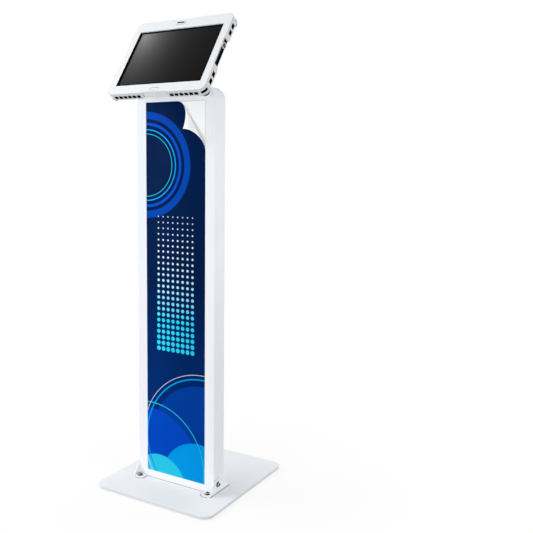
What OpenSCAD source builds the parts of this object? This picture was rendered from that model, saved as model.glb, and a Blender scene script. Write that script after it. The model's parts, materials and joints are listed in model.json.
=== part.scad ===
// Floor stand that holds a tablet in a lockable frame on a hollow post.
// Millimetres, +Z up, the screen looks along -Y, origin on the floor under the middle of the base.

/* [Base] */
// Width of the base plate
base_w = 304; // [290:2:330]
// Depth of the base plate
base_d = 342; // [330:2:370]
// Thickness of the base plate
base_t = 6; // [5:0.5:8]
// Corner radius of the base plate
base_r = 25; // [16:1:40]
// Height of the rubber pads under the base
pad_t = 2; // [1.5:0.5:4]
// Middle of the post along Y, negative towards the front of the base
post_y = -45; // [-55:1:-35]

/* [Post] */
// Outer width of the post
post_w = 204; // [198:1:212]
// Outer depth of the post
post_d = 42; // [40:1:46]
// Height of the post above the base plate
post_h = 888; // [860:4:940]
// Width of each hollow column
col_w = 23.5; // [22:0.5:25]
// Height of the top beam
beam_h = 28; // [26:1:29]
// Height of the bottom rail
rail_h = 16; // [14:1:20]
// Radius of the two upper corners
post_r = 30; // [24:1:34]
// Thickness of the post's sheet
wall = 2; // [1.6:0.1:2.4]

/* [Graphic] */
// Thickness of the panel behind the print
panel_t = 1.5; // [1:0.1:2]
// Thickness of the printed sheet
sheet_t = 0.5; // [0.4:0.05:0.6]
// How far along the sheet's top edge the peeled corner has come off
peel_w = 75; // [66:1:84]
// How far down the sheet's side edge the peeled corner has come off
peel_h = 109; // [98:1:120]
// How far the peeled tip stands off the panel
peel_lift = 10; // [8:0.5:13]

/* [Foot brackets] */
// Thickness of the bracket sheet
brk_t = 2.5; // [2:0.1:3]
// How far the tongue reaches in front of the post
tongue_d = 22.5; // [20:0.5:26]
// Width of the tongue
tongue_w = 26; // [24:1:32]
// Height of the ear beside the post
ear_h = 33; // [30:1:38]

/* [Cable compartment] */
// Height of the door's hinge line above the floor
door_z = 300; // [280:1:310]
// Height of the door
door_h = 327; // [318:1:340]
// Sheet thickness of door, liner and pockets
sheet_w = 1.5; // [1.2:0.1:1.8]
// Width of the power adapter
adapter_w = 66; // [56:1:72]
// Height of the power adapter
adapter_h = 146; // [130:1:150]
// Diameter of the adapter's lead
lead_d = 4; // [3.5:0.1:4.5]

/* [Head] */
// Lean of the screen at rest, away from upright
tilt = 36; // [30:1:42]
// Height of the tilt bolt above the top of the post
tilt_rise = 40; // [38:0.5:44]
// Width of the neck
neck_w = 58; // [54:1:62]
// Diameter of the turning disc
disc_d = 92; // [84:1:100]
// Side of the mounting plate
plate_w = 130; // [124:1:136]
// Pitch of the mounting screws
screw_pitch = 86; // [80:1:90]

/* [Enclosure] */
// Width of the enclosure
enc_w = 251; // [246:1:260]
// Height of the enclosure
enc_h = 207.5; // [202:0.5:214]
// Depth of the enclosure
enc_d = 18.7; // [18:0.1:20]
// Corner radius of the enclosure
enc_r = 15; // [12:0.5:18]
// Width of the screen opening
open_w = 217; // [210:1:220]
// Height of the screen opening
open_h = 156; // [150:1:160]

/* [Hidden] */
$fn = 64;
// How far joined bodies sink into each other, and how far a cut runs past a face
tiny = 0.01;
over = 1;

// Clearances: flat seats, running fits of turning pins, screws in their holes
seat = 0.3;
run = 0.05;
screw_fit = 0.05;

// Colours
white = [0.91, 0.92, 0.94];
nickel = [0.72, 0.70, 0.66];
black = [0.05, 0.05, 0.055];
steel = [0.60, 0.61, 0.63];

// Levels
base_top = pad_t + base_t;
post_top = base_top + post_h;
front_y = -post_d / 2;
rear_y = post_d / 2;
win_x = post_w / 2 - col_w;
win_z0 = base_top + rail_h;
win_z1 = post_top - beam_h;

// Panel and print, set back from the front face
panel_set = 1;
panel_y = front_y + panel_set;
panel_gap = 0.2;
rail_w = 18.5;
rail_y = panel_y + panel_t;
rail_t = 1.5;
liner_y = rail_y + rail_t;
liner_in = liner_y + sheet_w;

// Printed sheet: flat field, then strips that roll its peeled corner off the panel
sheet_gap = 0.5;
sheet_x = win_x - sheet_gap;
sheet_z0 = win_z0 + sheet_gap;
sheet_z1 = win_z1 - sheet_gap;
// Bends of the peeled edges, measured from where the flat corner would lie
peel_ease = 31;
peel_tip = [-0.68 * peel_w, -peel_lift, -0.55 * peel_h];
peel_top_bend = [-0.56 * peel_w, -0.9 * peel_lift, -0.32 * peel_h];
peel_side_bend = [-0.2 * peel_w, -4 * peel_lift, -0.54 * peel_h];
// Its two edges, from where they leave the panel to the tip
peel_top = [[-peel_w, 0, 0], [-peel_w + peel_ease, 0, 0], peel_top_bend, peel_tip];
peel_side = [[0, 0, -peel_h], [0, 0, -peel_h + peel_ease], peel_side_bend, peel_tip];
peel_n = 16;
peel_end = 0.99;

// Pads
pad_d = 30;
pad_in = 28;
blind_floor = 1;

// Foot brackets
tongue_r = 12;
tongue_r2 = 4;
ear_back = 18.5;
ear_tip_r = 9;
ear_nose = 5;
foot_screw_x = 9.5;
foot_screw_y = 10.75;
ear_screw_y = -7;
ear_screw_z = 18.5;
foot_m = 6;
foot_head_d = 12;
foot_head_h = 3.6;
foot_spare = 1.5;

// Door and its hinge
pin_d = 4;
pin_in = 4.5;
pin_y = rear_y - pin_in;
door_gap = 0.6;
door_x = win_x - door_gap;
door_drop = 3.5;
tab_t = 2.8;
tab_r = 4.5;
tab_rise = 2;
tab_x1 = win_x - 1.9;
tab_x0 = tab_x1 - tab_t;
bush_d = 7;
bush_flange_d = 9;
bush_flange_t = 1.3;
pin_over = 1.5;
pin_end = win_x + wall + pin_over;
door_top = door_z + door_h;
lip_clear = 0.5;
lip_in = liner_in + lip_clear;
lip_tab = 24;
lip_notch = 10;
lip_tab_r = 5;

// Liner of the cable compartment
liner_gap = 0.2;
liner_x = win_x - liner_gap;
liner_drop = 1.5;
liner_top = door_top - sheet_w - liner_drop;
liner_under = 1;
liner_z = door_z - liner_under;
liner_set = 4;
liner_rear = rear_y - liner_set;
liner_floor_in = 11;
liner_floor_y = rear_y - liner_floor_in;
hinge_cut = 16;
hinge_cut_z = door_z + hinge_cut;
return_w = 12;

// Openings in the wall of the column with the lead
port_w = 18;
port_h = 34;
port_y = 3;
port_rise = 281;
port_z = door_z + port_rise;
top_port_y = 6;
top_port_drop = 30;
top_port_z = win_z1 - top_port_drop;
hole_d = 8;
wing_hole_d = 10;
wing_hole_rise = 31;
wing_hole_z = port_z + wing_hole_rise;
top_hole_drop = 48;
top_hole_z = top_port_z - top_hole_drop;
low_hole_rise = 10;
low_hole_z = door_z + low_hole_rise;
low_hole_y = 5;
cord_slot_y = 1;
cord_slot_l = 18;
cord_slot_h = 6;
cord_slot_rise = 47;
cord_slot_z = door_z + cord_slot_rise;
grommet_t = 1.1;
grommet_lip = 1.5;
grommet_flange = 2;

// Pockets and adapter
tall_x0 = -32;
tall_x1 = 60;
tall_rise = 62;
tall_z = door_z + tall_rise;
tall_h = 100;
short_x0 = -75;
short_x1 = -34;
short_rise = 61;
short_z = door_z + short_rise;
short_h = 65;
pocket_set = 5;
pocket_rear = rear_y - pocket_set;
adapter_x = 23;
adapter_gap = 1.5;
adapter_y0 = liner_in + adapter_gap;
adapter_y1 = pocket_rear - sheet_w - 2 * adapter_gap;
adapter_z = tall_z + sheet_w;
adapter_r = 6;
plug_x = 43;
plug_y = (adapter_y0 + adapter_y1) / 2;
plug_w = 16;
plug_t = 12;
plug_h = 16;
plug_r = 2.5;
relief_d1 = 9;
relief_d2 = 6;
relief_h = 14;
plug_z = adapter_z + adapter_h;
lead_z = plug_z + plug_h + relief_h;

// Route of the lead from the plug into the column, as offsets from the plug's top and the port
lead_from = [plug_x, plug_y, lead_z];
lead_to = [-win_x, port_y, port_z - 10];
lead_path = [
    lead_from,
    lead_from + [0, 0, 4],
    lead_from + [0, 0, 8],
    lead_from + [-5, -1, 16],
    lead_from + [-15, -2, 20],
    lead_from + [-28, -3, 17],
    lead_from + [-41, -4, 11],
    lead_to + [55, -8, -22],
    lead_to + [42, -8, -24],
    lead_to + [30, -7, -22],
    lead_to + [20, -5, -17],
    lead_to + [11, -3, -10],
    lead_to + [4, -1, -4],
    lead_to + [-4, 0, 2],
    lead_to + [-9, 0, 10],
    lead_to + [-11, 0, 22],
    lead_to + [-11, 0, 40]];
lead_sides = 8;
lead_fine = 3;

// Square power port, stud socket and slide bolt on the liner's back
jack_w = 25;
jack_t = 6;
jack_x = 7;
jack_rise = 305;
jack_z = door_z + jack_rise;
jack_bore = 9;
jack_pin = 2.2;
jack_r = 2;
jack_floor = 2;
stud_x = -41;
stud_rise = 232;
stud_z = door_z + stud_rise;
stud_l = 16;
stud_head_d = 8;
stud_stem_d = 4;
stud_rivet_d = 3;
stud_foot_d = 6.8;
stud_foot_h = 1.4;
stud_neck = 6;
stud_crown = 1.8;
stud_rear = rear_y - sheet_w;
stud_tip = stud_rear - stud_l;
socket_d = 14;
socket_bore = 9.4;
socket_grip = 3.5;
socket_deep = 2;
bolt_x0 = -72;
bolt_x1 = -24;
bolt_rise = 39;
bolt_z = door_z + bolt_rise;
bolt_plate_h = 44;
bolt_plate_t = 1.6;
bolt_d = 6;
bolt_shell_d = 12;
bolt_y = liner_in + 7.5;
bolt_end = 36;
bolt_tail = -44;
bolt_knob_x = -40;
bolt_travel = 26;
bolt_knob_d = 4;
bolt_knob_l = 10;
keeper_x0 = 28;
keeper_x1 = 38;
keeper_h = 34;
keeper_x = (keeper_x0 + keeper_x1) / 2;
knob_room = 3;
small_m = 3;
small_head_d = 5.5;
small_head_h = 1.6;
bolt_screw_in = 7;
bolt_screw_z = 15;
keeper_screw_z = 12;

// Neck, yoke and disc
neck_t = 2;
neck_lap = 27;
neck_back = 20;
neck_boss_r = 14;
neck_front = front_y + 3;
neck_top_d = 6;
pivot_y = -2;
pivot_z = post_top + tilt_rise;
tilt_d = 10;
washer_t = 1;
washer_d = 24;
ear_t = 4;
washer_gap = 0.2;
ear_x = neck_w / 2 + washer_gap + washer_t;
yoke_x = ear_x + ear_t;
yoke_y = -16;
yoke_t = 3;
yoke_h = 40;
yoke_rim = 4;
yoke_r = 6;
yoke_nose = 15;
yoke_hip = 17;
yoke_tip = 8;
tilt_head_d = 18;
tilt_head_h = 6;
disc_t = 8;
disc_edge = 2;
disc_y = yoke_y - yoke_t;
spin_gap = 0.3;
plate_t = 3;
plate_y = disc_y - disc_t - spin_gap;
plate_r = 12;
spin_d = 16;
spin_head_d = 26;
spin_head_h = 2.4;
spin_nut_d = 24;
spin_nut_h = 6;
spin_well_d = 34;
small_hole_d = 4.5;
small_hole_in = 7;
notch_x = 30;
notch_w = 9;
notch_h = 2.5;
plate_m = 4;
plate_head_d = 9;
plate_head_h = 2.8;
plate_spare = 0.5;

// Enclosure: local frame at the tilt bolt, front towards -Y
enc_back = plate_y - plate_t;
enc_front = enc_back - enc_d;
bezel_t = 2.5;
side_t = 2.5;
rear_t = 3;
open_dz = -2.2;
side_cut = 35;
end_cut = 31;
slot_n = 6;
slot_first = 42;
slot_pitch = 12;
slot_w = 9.4;
slot_d = 8;
side_slot_h = 14.5;
side_slot_d = 10;
side_slot_a = 55;
side_slot_b = 75;
slot_y = enc_front + 11;
side_slot_y = enc_front + 10.5;
slot_cut = 5;
corner_slot_w = 18;
gap_r = 7;
mid_set = 1.5;
flange_t = 1.5;
step_w = 20;
step_t = 1.2;
step_side = 62;
step_end = 76;
cam_x = -7;
cam_z = 92;
cam_w = 19;
cam_h = 3.6;
cam_rim = 3;
cam_rise = 0.8;
dot_d = 1.6;
dot_x = cam_x - 17;
dot_z = 3.5;
key_w = 21;
key_h = 6.5;
key_z = -94.5;
key_gap = 0.3;
key_sink = 0.2;
key_float = 0.1;
key_room = 1.5;
key_travel = 0.6;
eye_d = 11;
eye_x = -7;
eye_in = 10;
eye_z = enc_h / 2 - eye_in;
knob_in_x = 11;
knob_in_z = 12;
knob_x = enc_w / 2 - knob_in_x;
knob_z = enc_h / 2 - knob_in_z;
knob_d = 15;
knob_h = 6;
knob_edge = 1;
knob_stem_d = 4;
knob_hex = 7;
knob_hex_h = 3;
boss_d = 21;
boss_h = 1.5;
shell_in_x = 24;
shell_in_z = 29;
shell_screw_x = enc_w / 2 - shell_in_x;
shell_screw_z = enc_h / 2 - shell_in_z;
shell_head_d = 7.5;
shell_head_h = 2.2;
edge_hole_d = 5;
edge_hole_x = shell_screw_x;
edge_hole_z = 22;

// Tablet inside the enclosure
glass_t = 1;
glass_gap = 0.2;
glass_in = 1;
glass_y = enc_front + bezel_t + glass_gap;
body_y = glass_y + glass_t;
body_t = 8.3;
tablet_w = enc_w - 2 * side_t - 6;
tablet_h = enc_h - 2 * side_t - 8;
tablet_r = 10;
foam_w = 40;
foam_h = 18;
foam_in = 8;
rear_in = enc_back - rear_t;

// Ring on the enclosure's side
ring_z = 22;
ring_d = 14;
ring_bore = 7.5;
ring_t = 3;
ring_y = rear_in - 4;
ring_x = enc_w / 2 - side_t - ring_t / 2;

// Sub-part to draw

// Rectangle with round corners made of straight and circular edges
module round_rect(w, h, r) {
    square([w - 2 * r, h], center = true);
    square([w, h - 2 * r], center = true);
    for (x = [-1, 1], y = [-1, 1])
        translate([x * (w / 2 - r), y * (h / 2 - r)]) circle(r);
}

// Slot with round ends, standing along Y
module stadium(w, h) {
    square([w, h - w], center = true);
    for (y = [-1, 1])
        translate([0, y * (h - w) / 2]) circle(d = w);
}

// Upright slab with round upper corners, seen from the front
module arch(w, z0, z1, r) {
    translate([-w / 2, z0]) square([w, z1 - r - z0]);
    translate([-w / 2 + r, z0]) square([w - 2 * r, z1 - z0]);
    for (x = [-1, 1])
        translate([x * (w / 2 - r), z1 - r]) circle(r);
}

// Block between two corners
module block(x0, x1, y0, y1, z0, z1) {
    translate([x0, y0, z0]) cube([x1 - x0, y1 - y0, z1 - z0]);
}

// Outline in the XZ plane given depth along +Y from y0
module along_y(y0, t) {
    translate([0, y0 + t, 0]) rotate([90, 0, 0]) linear_extrude(t) children();
}

// Outline in the YZ plane given depth along +X from x0
module along_x(x0, t) {
    translate([x0, 0, 0]) rotate([90, 0, 90]) linear_extrude(t) children();
}

// Cylinder along Y from y0
module rod_y(d, y0, l) {
    translate([0, y0, 0]) rotate([-90, 0, 0]) cylinder(d = d, h = l);
}

// Cylinder along X from x0
module rod_x(d, x0, l) {
    translate([x0, 0, 0]) rotate([0, 90, 0]) cylinder(d = d, h = l);
}

// Round-headed socket screw standing on Z = 0
module socket_screw(m, l, head_d, head_h) {
    difference() {
        rotate_extrude()
            polygon([[0, -l], [m / 2, -l], [m / 2, 0], [head_d / 2, 0], [head_d / 2, head_h * 0.45],
                [head_d * 0.36, head_h], [0, head_h]]);
        translate([0, 0, head_h * 0.4]) cylinder(d = m * 0.68, h = head_h, $fn = 6);
    }
}

module at_post() {
    translate([0, post_y, 0]) children();
}

// Tilted frame of the head, origin at the tilt bolt
module at_head() {
    translate([0, post_y + pivot_y, pivot_z]) rotate([-tilt, 0, 0]) children();
}

module base_plate() {
    color(white) difference() {
        translate([0, 0, pad_t]) linear_extrude(base_t) round_rect(base_w, base_d, base_r);
        for (s = [-1, 1])
            translate([s * (post_w / 2 - foot_screw_x), post_y + front_y - foot_screw_y, 0])
                translate([0, 0, pad_t + blind_floor]) cylinder(d = foot_m + 2 * screw_fit, h = base_t);
    }
}

module base_pads() {
    color(black) for (x = [-1, 1], y = [-1, 1])
        translate([x * (base_w / 2 - pad_in), y * (base_d / 2 - pad_in), 0]) cylinder(d = pad_d, h = pad_t);
}

// Holes in the wall of the column that takes the lead
module column_ports(x0, t) {
    translate([0, port_y, port_z]) along_x(x0, t) stadium(port_w, port_h);
    translate([0, port_y, wing_hole_z]) rod_x(wing_hole_d, x0, t);
    translate([0, low_hole_y, low_hole_z]) rod_x(hole_d, x0, t);
    translate([0, cord_slot_y, cord_slot_z]) along_x(x0, t)
        rotate([0, 0, 90]) stadium(cord_slot_h, cord_slot_l);
}

module post_frame() {
    color(white) at_post() difference() {
        along_y(front_y, post_d) arch(post_w, base_top, post_top, post_r);
        block(-win_x, win_x, front_y - over, rear_y + over, win_z0, win_z1);
        along_y(front_y + wall, post_d - 2 * wall) difference() {
            arch(post_w - 2 * wall, base_top - over, post_top - wall, post_r - wall);
            translate([-win_x - wall, win_z0 - wall])
                square([2 * (win_x + wall), win_z1 - win_z0 + 2 * wall]);
        }
        column_ports(-win_x - wall - over, wall + 2 * over);
        translate([-win_x - wall - over, top_port_y, 0]) {
            translate([0, 0, top_port_z]) along_x(0, wall + 2 * over) stadium(port_w, port_h);
            translate([0, 0, top_hole_z]) rod_x(hole_d, 0, wall + 2 * over);
        }
        for (s = [-1, 1]) {
            translate([s * (win_x + wall / 2), pin_y, door_z])
                rod_x(bush_d, -wall / 2 - over, wall + 2 * over);
            translate([s * (post_w / 2 - wall / 2), ear_screw_y, base_top + ear_screw_z])
                rod_x(foot_m + 2 * screw_fit, -wall, 2 * wall);
        }
    }
}

module front_panel() {
    color(white) at_post()
        block(-win_x + panel_gap, win_x - panel_gap, panel_y, rail_y,
            win_z0 + panel_gap, win_z1 - panel_gap);
}

module panel_rails() {
    color(white) at_post() for (s = [-1, 1])
        translate([s * (win_x - rail_w / 2), 0, 0])
            block(-rail_w / 2, rail_w / 2, rail_y, liner_y, win_z0 + panel_gap, win_z1 - panel_gap);
}

// Cubic bend through four points, and its direction
function bend(p, t) = pow(1 - t, 3) * p[0] + 3 * t * pow(1 - t, 2) * p[1] + 3 * t * t * (1 - t) * p[2]
    + pow(t, 3) * p[3];
function bend_dir(p, t) = pow(1 - t, 2) * (p[1] - p[0]) + 2 * t * (1 - t) * (p[2] - p[1])
    + t * t * (p[3] - p[2]);
function peel_face(t) = unit(cross(bend_dir(peel_top, t) + bend_dir(peel_side, t),
    bend(peel_top, t) - bend(peel_side, t)));
function peel_point(edge, t, h) = [sheet_x, panel_y, sheet_z1] + bend(edge, t) + h * peel_face(t);

// Front and back of each strip are cut along the same diagonal, so the film keeps its thickness
module graphic_sheet() {
    flat = [[-sheet_x, sheet_z0], [sheet_x, sheet_z0], [-sheet_x, sheet_z1]];
    pts = concat(
        [for (p = flat) [p[0], panel_y, p[1]]],
        [for (p = flat) [p[0], panel_y - sheet_t, p[1]]],
        [for (i = [0:peel_n]) let (t = i / peel_n * peel_end) each [
            peel_point(peel_side, t, 0), peel_point(peel_top, t, 0),
            peel_point(peel_top, t, sheet_t), peel_point(peel_side, t, sheet_t)]]);
    q = 6;
    e = q + 4 * peel_n;
    faces = concat(
        [[0, 1, q, q + 1, 2], [3, 5, q + 2, q + 3, 4], [0, 3, 4, 1], [1, 4, q + 3, q],
            [2, q + 1, q + 2, 5], [0, 2, 5, 3], [e, e + 3, e + 2, e + 1]],
        [for (i = [0:peel_n - 1], k = [0:3])
            let (a = q + 4 * i + k, b = q + 4 * i + (k + 1) % 4)
            each k == 2 ? [[a, a + 4, b + 4], [a, b + 4, b]] : [[a, a + 4, b], [b, a + 4, b + 4]]]);
    color([0.02, 0.25, 0.75]) at_post() polyhedron(points = pts, faces = faces);
}

// Bent bracket that ties the foot of the post to the base, made for the +X side
module foot_bracket() {
    along_x(post_w / 2, brk_t) difference() {
        union() {
            polygon([[front_y - tongue_d + tongue_r2, base_top],
                [front_y - tongue_d + tongue_r2, base_top + brk_t], [front_y, base_top + ear_h - ear_nose],
                [-ear_tip_r * 0.24, base_top + ear_h - 0.3], [ear_tip_r * 0.61, base_top + ear_h - 1.9],
                [rear_y, base_top + ear_h * 0.58], [rear_y + ear_back * 0.62, base_top + ear_h * 0.25],
                [rear_y + ear_back, base_top + brk_t], [rear_y + ear_back, base_top]]);
            translate([0, base_top + ear_h - ear_tip_r]) circle(ear_tip_r);
        }
        translate([ear_screw_y, base_top + ear_screw_z]) circle(d = foot_m + 2 * screw_fit);
    }
    translate([post_w / 2 + brk_t - tongue_w, front_y - tongue_d, base_top])
        linear_extrude(brk_t) difference() {
            intersection() {
                square([tongue_w, tongue_d]);
                union() {
                    translate([0, tongue_r]) square([tongue_w, tongue_d]);
                    translate([tongue_r, 0]) square([tongue_w - tongue_r - tongue_r2, tongue_d]);
                    translate([tongue_w - tongue_r2, tongue_r2]) square([tongue_r2, tongue_d]);
                    translate([tongue_r, tongue_r]) circle(tongue_r);
                    translate([tongue_w - tongue_r2, tongue_r2]) circle(tongue_r2);
                }
            }
            translate([tongue_w - brk_t - foot_screw_x, tongue_d - foot_screw_y])
                circle(d = foot_m + 2 * screw_fit);
        }
}

module foot_bracket_right() {
    color(white) at_post() foot_bracket();
}

module foot_bracket_left() {
    color(white) at_post() mirror([1, 0, 0]) foot_bracket();
}

module foot_screws() {
    color(nickel) at_post() for (s = [-1, 1])
        translate([s * (post_w / 2 - foot_screw_x), front_y - foot_screw_y, base_top + brk_t])
            socket_screw(foot_m, brk_t + base_t - foot_spare, foot_head_d, foot_head_h);
}

module ear_screws() {
    color(nickel) at_post() for (s = [-1, 1])
        translate([s * (post_w / 2 + brk_t), ear_screw_y, base_top + ear_screw_z]) rotate([0, s * 90, 0])
            socket_screw(foot_m, brk_t + wall + foot_spare, foot_head_d, foot_head_h);
}

// Bent sheet that lines the lower post behind the door
module cable_liner() {
    color(white) at_post() difference() {
        union() {
            block(-liner_x, liner_x, liner_y, liner_in, liner_z, liner_top);
            for (s = [-1, 1])
                translate([s * (liner_x - sheet_w / 2), 0, 0])
                    block(-sheet_w / 2, sheet_w / 2, liner_y, liner_rear, liner_z, liner_top);
            block(liner_x - return_w, liner_x, liner_rear - sheet_w, liner_rear, liner_z, liner_top);
            block(-liner_x, liner_x, liner_y, liner_floor_y, liner_z, liner_z + sheet_w);
        }
        block(-win_x, win_x, liner_floor_y, rear_y, liner_z - over, hinge_cut_z);
        column_ports(-liner_x - over, sheet_w + 2 * over);
    }
}

// Open-topped box on the liner's back
module pocket(x0, x1, z0, h) {
    difference() {
        block(x0, x1, liner_in, pocket_rear, z0, z0 + h);
        block(x0 + sheet_w, x1 - sheet_w, liner_in - over, pocket_rear - sheet_w,
            z0 + sheet_w, z0 + h + over);
    }
}

module pocket_tall() {
    color(white) at_post() pocket(tall_x0, tall_x1, tall_z, tall_h);
}

module pocket_short() {
    color(white) at_post() pocket(short_x0, short_x1, short_z, short_h);
}

module power_adapter() {
    color(black) at_post() translate([adapter_x, (adapter_y0 + adapter_y1) / 2, adapter_z])
        linear_extrude(adapter_h) round_rect(adapter_w, adapter_y1 - adapter_y0, adapter_r);
}

module adapter_plug() {
    color(black) at_post() translate([plug_x, plug_y, plug_z]) {
        linear_extrude(plug_h) round_rect(plug_w, plug_t, plug_r);
        translate([0, 0, plug_h]) cylinder(d1 = relief_d1, d2 = relief_d2, h = relief_h);
    }
}

// Smooth curve through the route points
function spline(a, b, c, d, t) = 0.5 * (2 * b + (c - a) * t + (2 * a - 5 * b + 4 * c - d) * t * t
    + (3 * b - a - 3 * c + d) * t * t * t);
function at_path(p, i) = p[max(0, min(len(p) - 1, i))];
function smooth_path(p, n) = [for (i = [0:len(p) - 2], k = [0:n - 1])
    spline(at_path(p, i - 1), p[i], p[i + 1], at_path(p, i + 2), k / n), p[len(p) - 1]];
function unit(v) = v / norm(v);
function path_dir(p, i) = unit(at_path(p, i + 1) - at_path(p, i - 1));
function ring(c, d, r, n) = let (s = unit(cross(d, [0, 1, 0.001])), u = cross(d, s))
    [for (k = [0:n - 1]) c + r * (cos(360 * k / n) * s + sin(360 * k / n) * u)];

// Round cord along a route
module cord(path, d, n) {
    m = len(path);
    pts = [for (i = [0:m - 1]) each ring(path[i], path_dir(path, i), d / 2, n)];
    faces = concat([[for (k = [0:n - 1]) k]], [[for (k = [0:n - 1]) m * n - 1 - k]],
        [for (i = [0:m - 2], k = [0:n - 1]) each [
            [i * n + k, (i + 1) * n + k, i * n + (k + 1) % n],
            [i * n + (k + 1) % n, (i + 1) * n + k, (i + 1) * n + (k + 1) % n]]]);
    polyhedron(points = pts, faces = faces);
}

module adapter_lead() {
    color(black) at_post() cord(smooth_path(lead_path, lead_fine), lead_d, lead_sides);
}

// Rubber edging of a stadium port, its flange on the inner side
module grommet(y, z, x) {
    translate([0, y, z]) difference() {
        union() {
            along_x(x, grommet_t) stadium(port_w + 2 * grommet_flange, port_h + 2 * grommet_flange);
            along_x(x - wall, wall) stadium(port_w - 2 * screw_fit, port_h - 2 * screw_fit);
        }
        along_x(x - wall - over, wall + grommet_t + 2 * over)
            stadium(port_w - 2 * grommet_lip, port_h - 2 * grommet_lip);
    }
}

module cord_grommets() {
    color(black) at_post() {
        grommet(port_y, port_z, -liner_x + sheet_w);
        grommet(top_port_y, top_port_z, -win_x);
    }
}

module power_port() {
    color(black) at_post() translate([jack_x, liner_in, jack_z]) {
        difference() {
            along_y(0, jack_t) round_rect(jack_w, jack_w, jack_r);
            rod_y(jack_bore, jack_floor, jack_t);
        }
        rod_y(jack_pin, jack_floor - tiny, jack_t - jack_floor - over);
    }
}

module stud_socket() {
    color(black) at_post() translate([stud_x, 0, stud_z]) difference() {
        rod_y(socket_d, liner_in, stud_tip + socket_grip - liner_in);
        rod_y(socket_bore, stud_tip - socket_deep, socket_grip + socket_deep + over);
    }
}

// Slide bolt that traps the mains cord: guide with its slotted barrel
module bolt_body() {
    color(nickel) at_post() difference() {
        union() {
            block(bolt_x0, bolt_x1, liner_in, liner_in + bolt_plate_t,
                bolt_z - bolt_plate_h / 2, bolt_z + bolt_plate_h / 2);
            block(bolt_x0, bolt_x1, liner_in + bolt_plate_t - tiny, bolt_y,
                bolt_z - bolt_shell_d / 2, bolt_z + bolt_shell_d / 2);
            translate([0, bolt_y, bolt_z]) rod_x(bolt_shell_d, bolt_x0, bolt_x1 - bolt_x0);
        }
        translate([0, bolt_y, bolt_z]) rod_x(bolt_d + 2 * run, bolt_x0 - over, bolt_x1 - bolt_x0 + 2 * over);
        block(bolt_knob_x - bolt_travel - knob_room, bolt_knob_x + knob_room, bolt_y, bolt_y + bolt_shell_d,
            bolt_z - bolt_knob_d / 2 - seat, bolt_z + bolt_knob_d / 2 + seat);
        for (x = [bolt_x0 + bolt_screw_in, bolt_x1 - bolt_screw_in], z = [-1, 1])
            translate([x, 0, bolt_z + z * bolt_screw_z])
                rod_y(small_m + 2 * screw_fit, liner_in - over, bolt_plate_t + 2 * over);
    }
}

module bolt_keeper() {
    color(nickel) at_post() difference() {
        union() {
            block(keeper_x0, keeper_x1, liner_in, liner_in + bolt_plate_t,
                bolt_z - keeper_h / 2, bolt_z + keeper_h / 2);
            block(keeper_x0, keeper_x1, liner_in + bolt_plate_t - tiny, bolt_y,
                bolt_z - bolt_shell_d / 2, bolt_z + bolt_shell_d / 2);
            translate([0, bolt_y, bolt_z]) rod_x(bolt_shell_d, keeper_x0, keeper_x1 - keeper_x0);
        }
        translate([0, bolt_y, bolt_z])
            rod_x(bolt_d + 2 * seat, keeper_x0 - over, keeper_x1 - keeper_x0 + 2 * over);
        for (z = [-1, 1])
            translate([keeper_x, 0, bolt_z + z * keeper_screw_z])
                rod_y(small_m + 2 * screw_fit, liner_in - over, bolt_plate_t + 2 * over);
    }
}

module bolt_screws() {
    color(steel) at_post() {
        for (x = [bolt_x0 + bolt_screw_in, bolt_x1 - bolt_screw_in], z = [-1, 1])
            translate([x, liner_in + bolt_plate_t, bolt_z + z * bolt_screw_z]) rotate([-90, 0, 0])
                socket_screw(small_m, bolt_plate_t, small_head_d, small_head_h);
        for (z = [-1, 1])
            translate([keeper_x, liner_in + bolt_plate_t, bolt_z + z * keeper_screw_z]) rotate([-90, 0, 0])
                socket_screw(small_m, bolt_plate_t, small_head_d, small_head_h);
    }
}

module bolt_rod() {
    color(steel) at_post() translate([0, bolt_y, bolt_z]) {
        rod_x(bolt_d, bolt_tail, bolt_end - bolt_tail);
        translate([bolt_knob_x, 0, 0]) rod_y(bolt_knob_d, 0, bolt_knob_l);
    }
}

module door_bushings() {
    color(black) at_post() for (s = [-1, 1])
        translate([0, pin_y, door_z]) mirror([s < 0 ? 1 : 0, 0, 0]) difference() {
            union() {
                rod_x(bush_d - 2 * screw_fit, win_x, wall);
                rod_x(bush_flange_d, win_x - bush_flange_t, bush_flange_t);
            }
            rod_x(pin_d + 2 * run, win_x - bush_flange_t - over, wall + bush_flange_t + 2 * over);
        }
}

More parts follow.
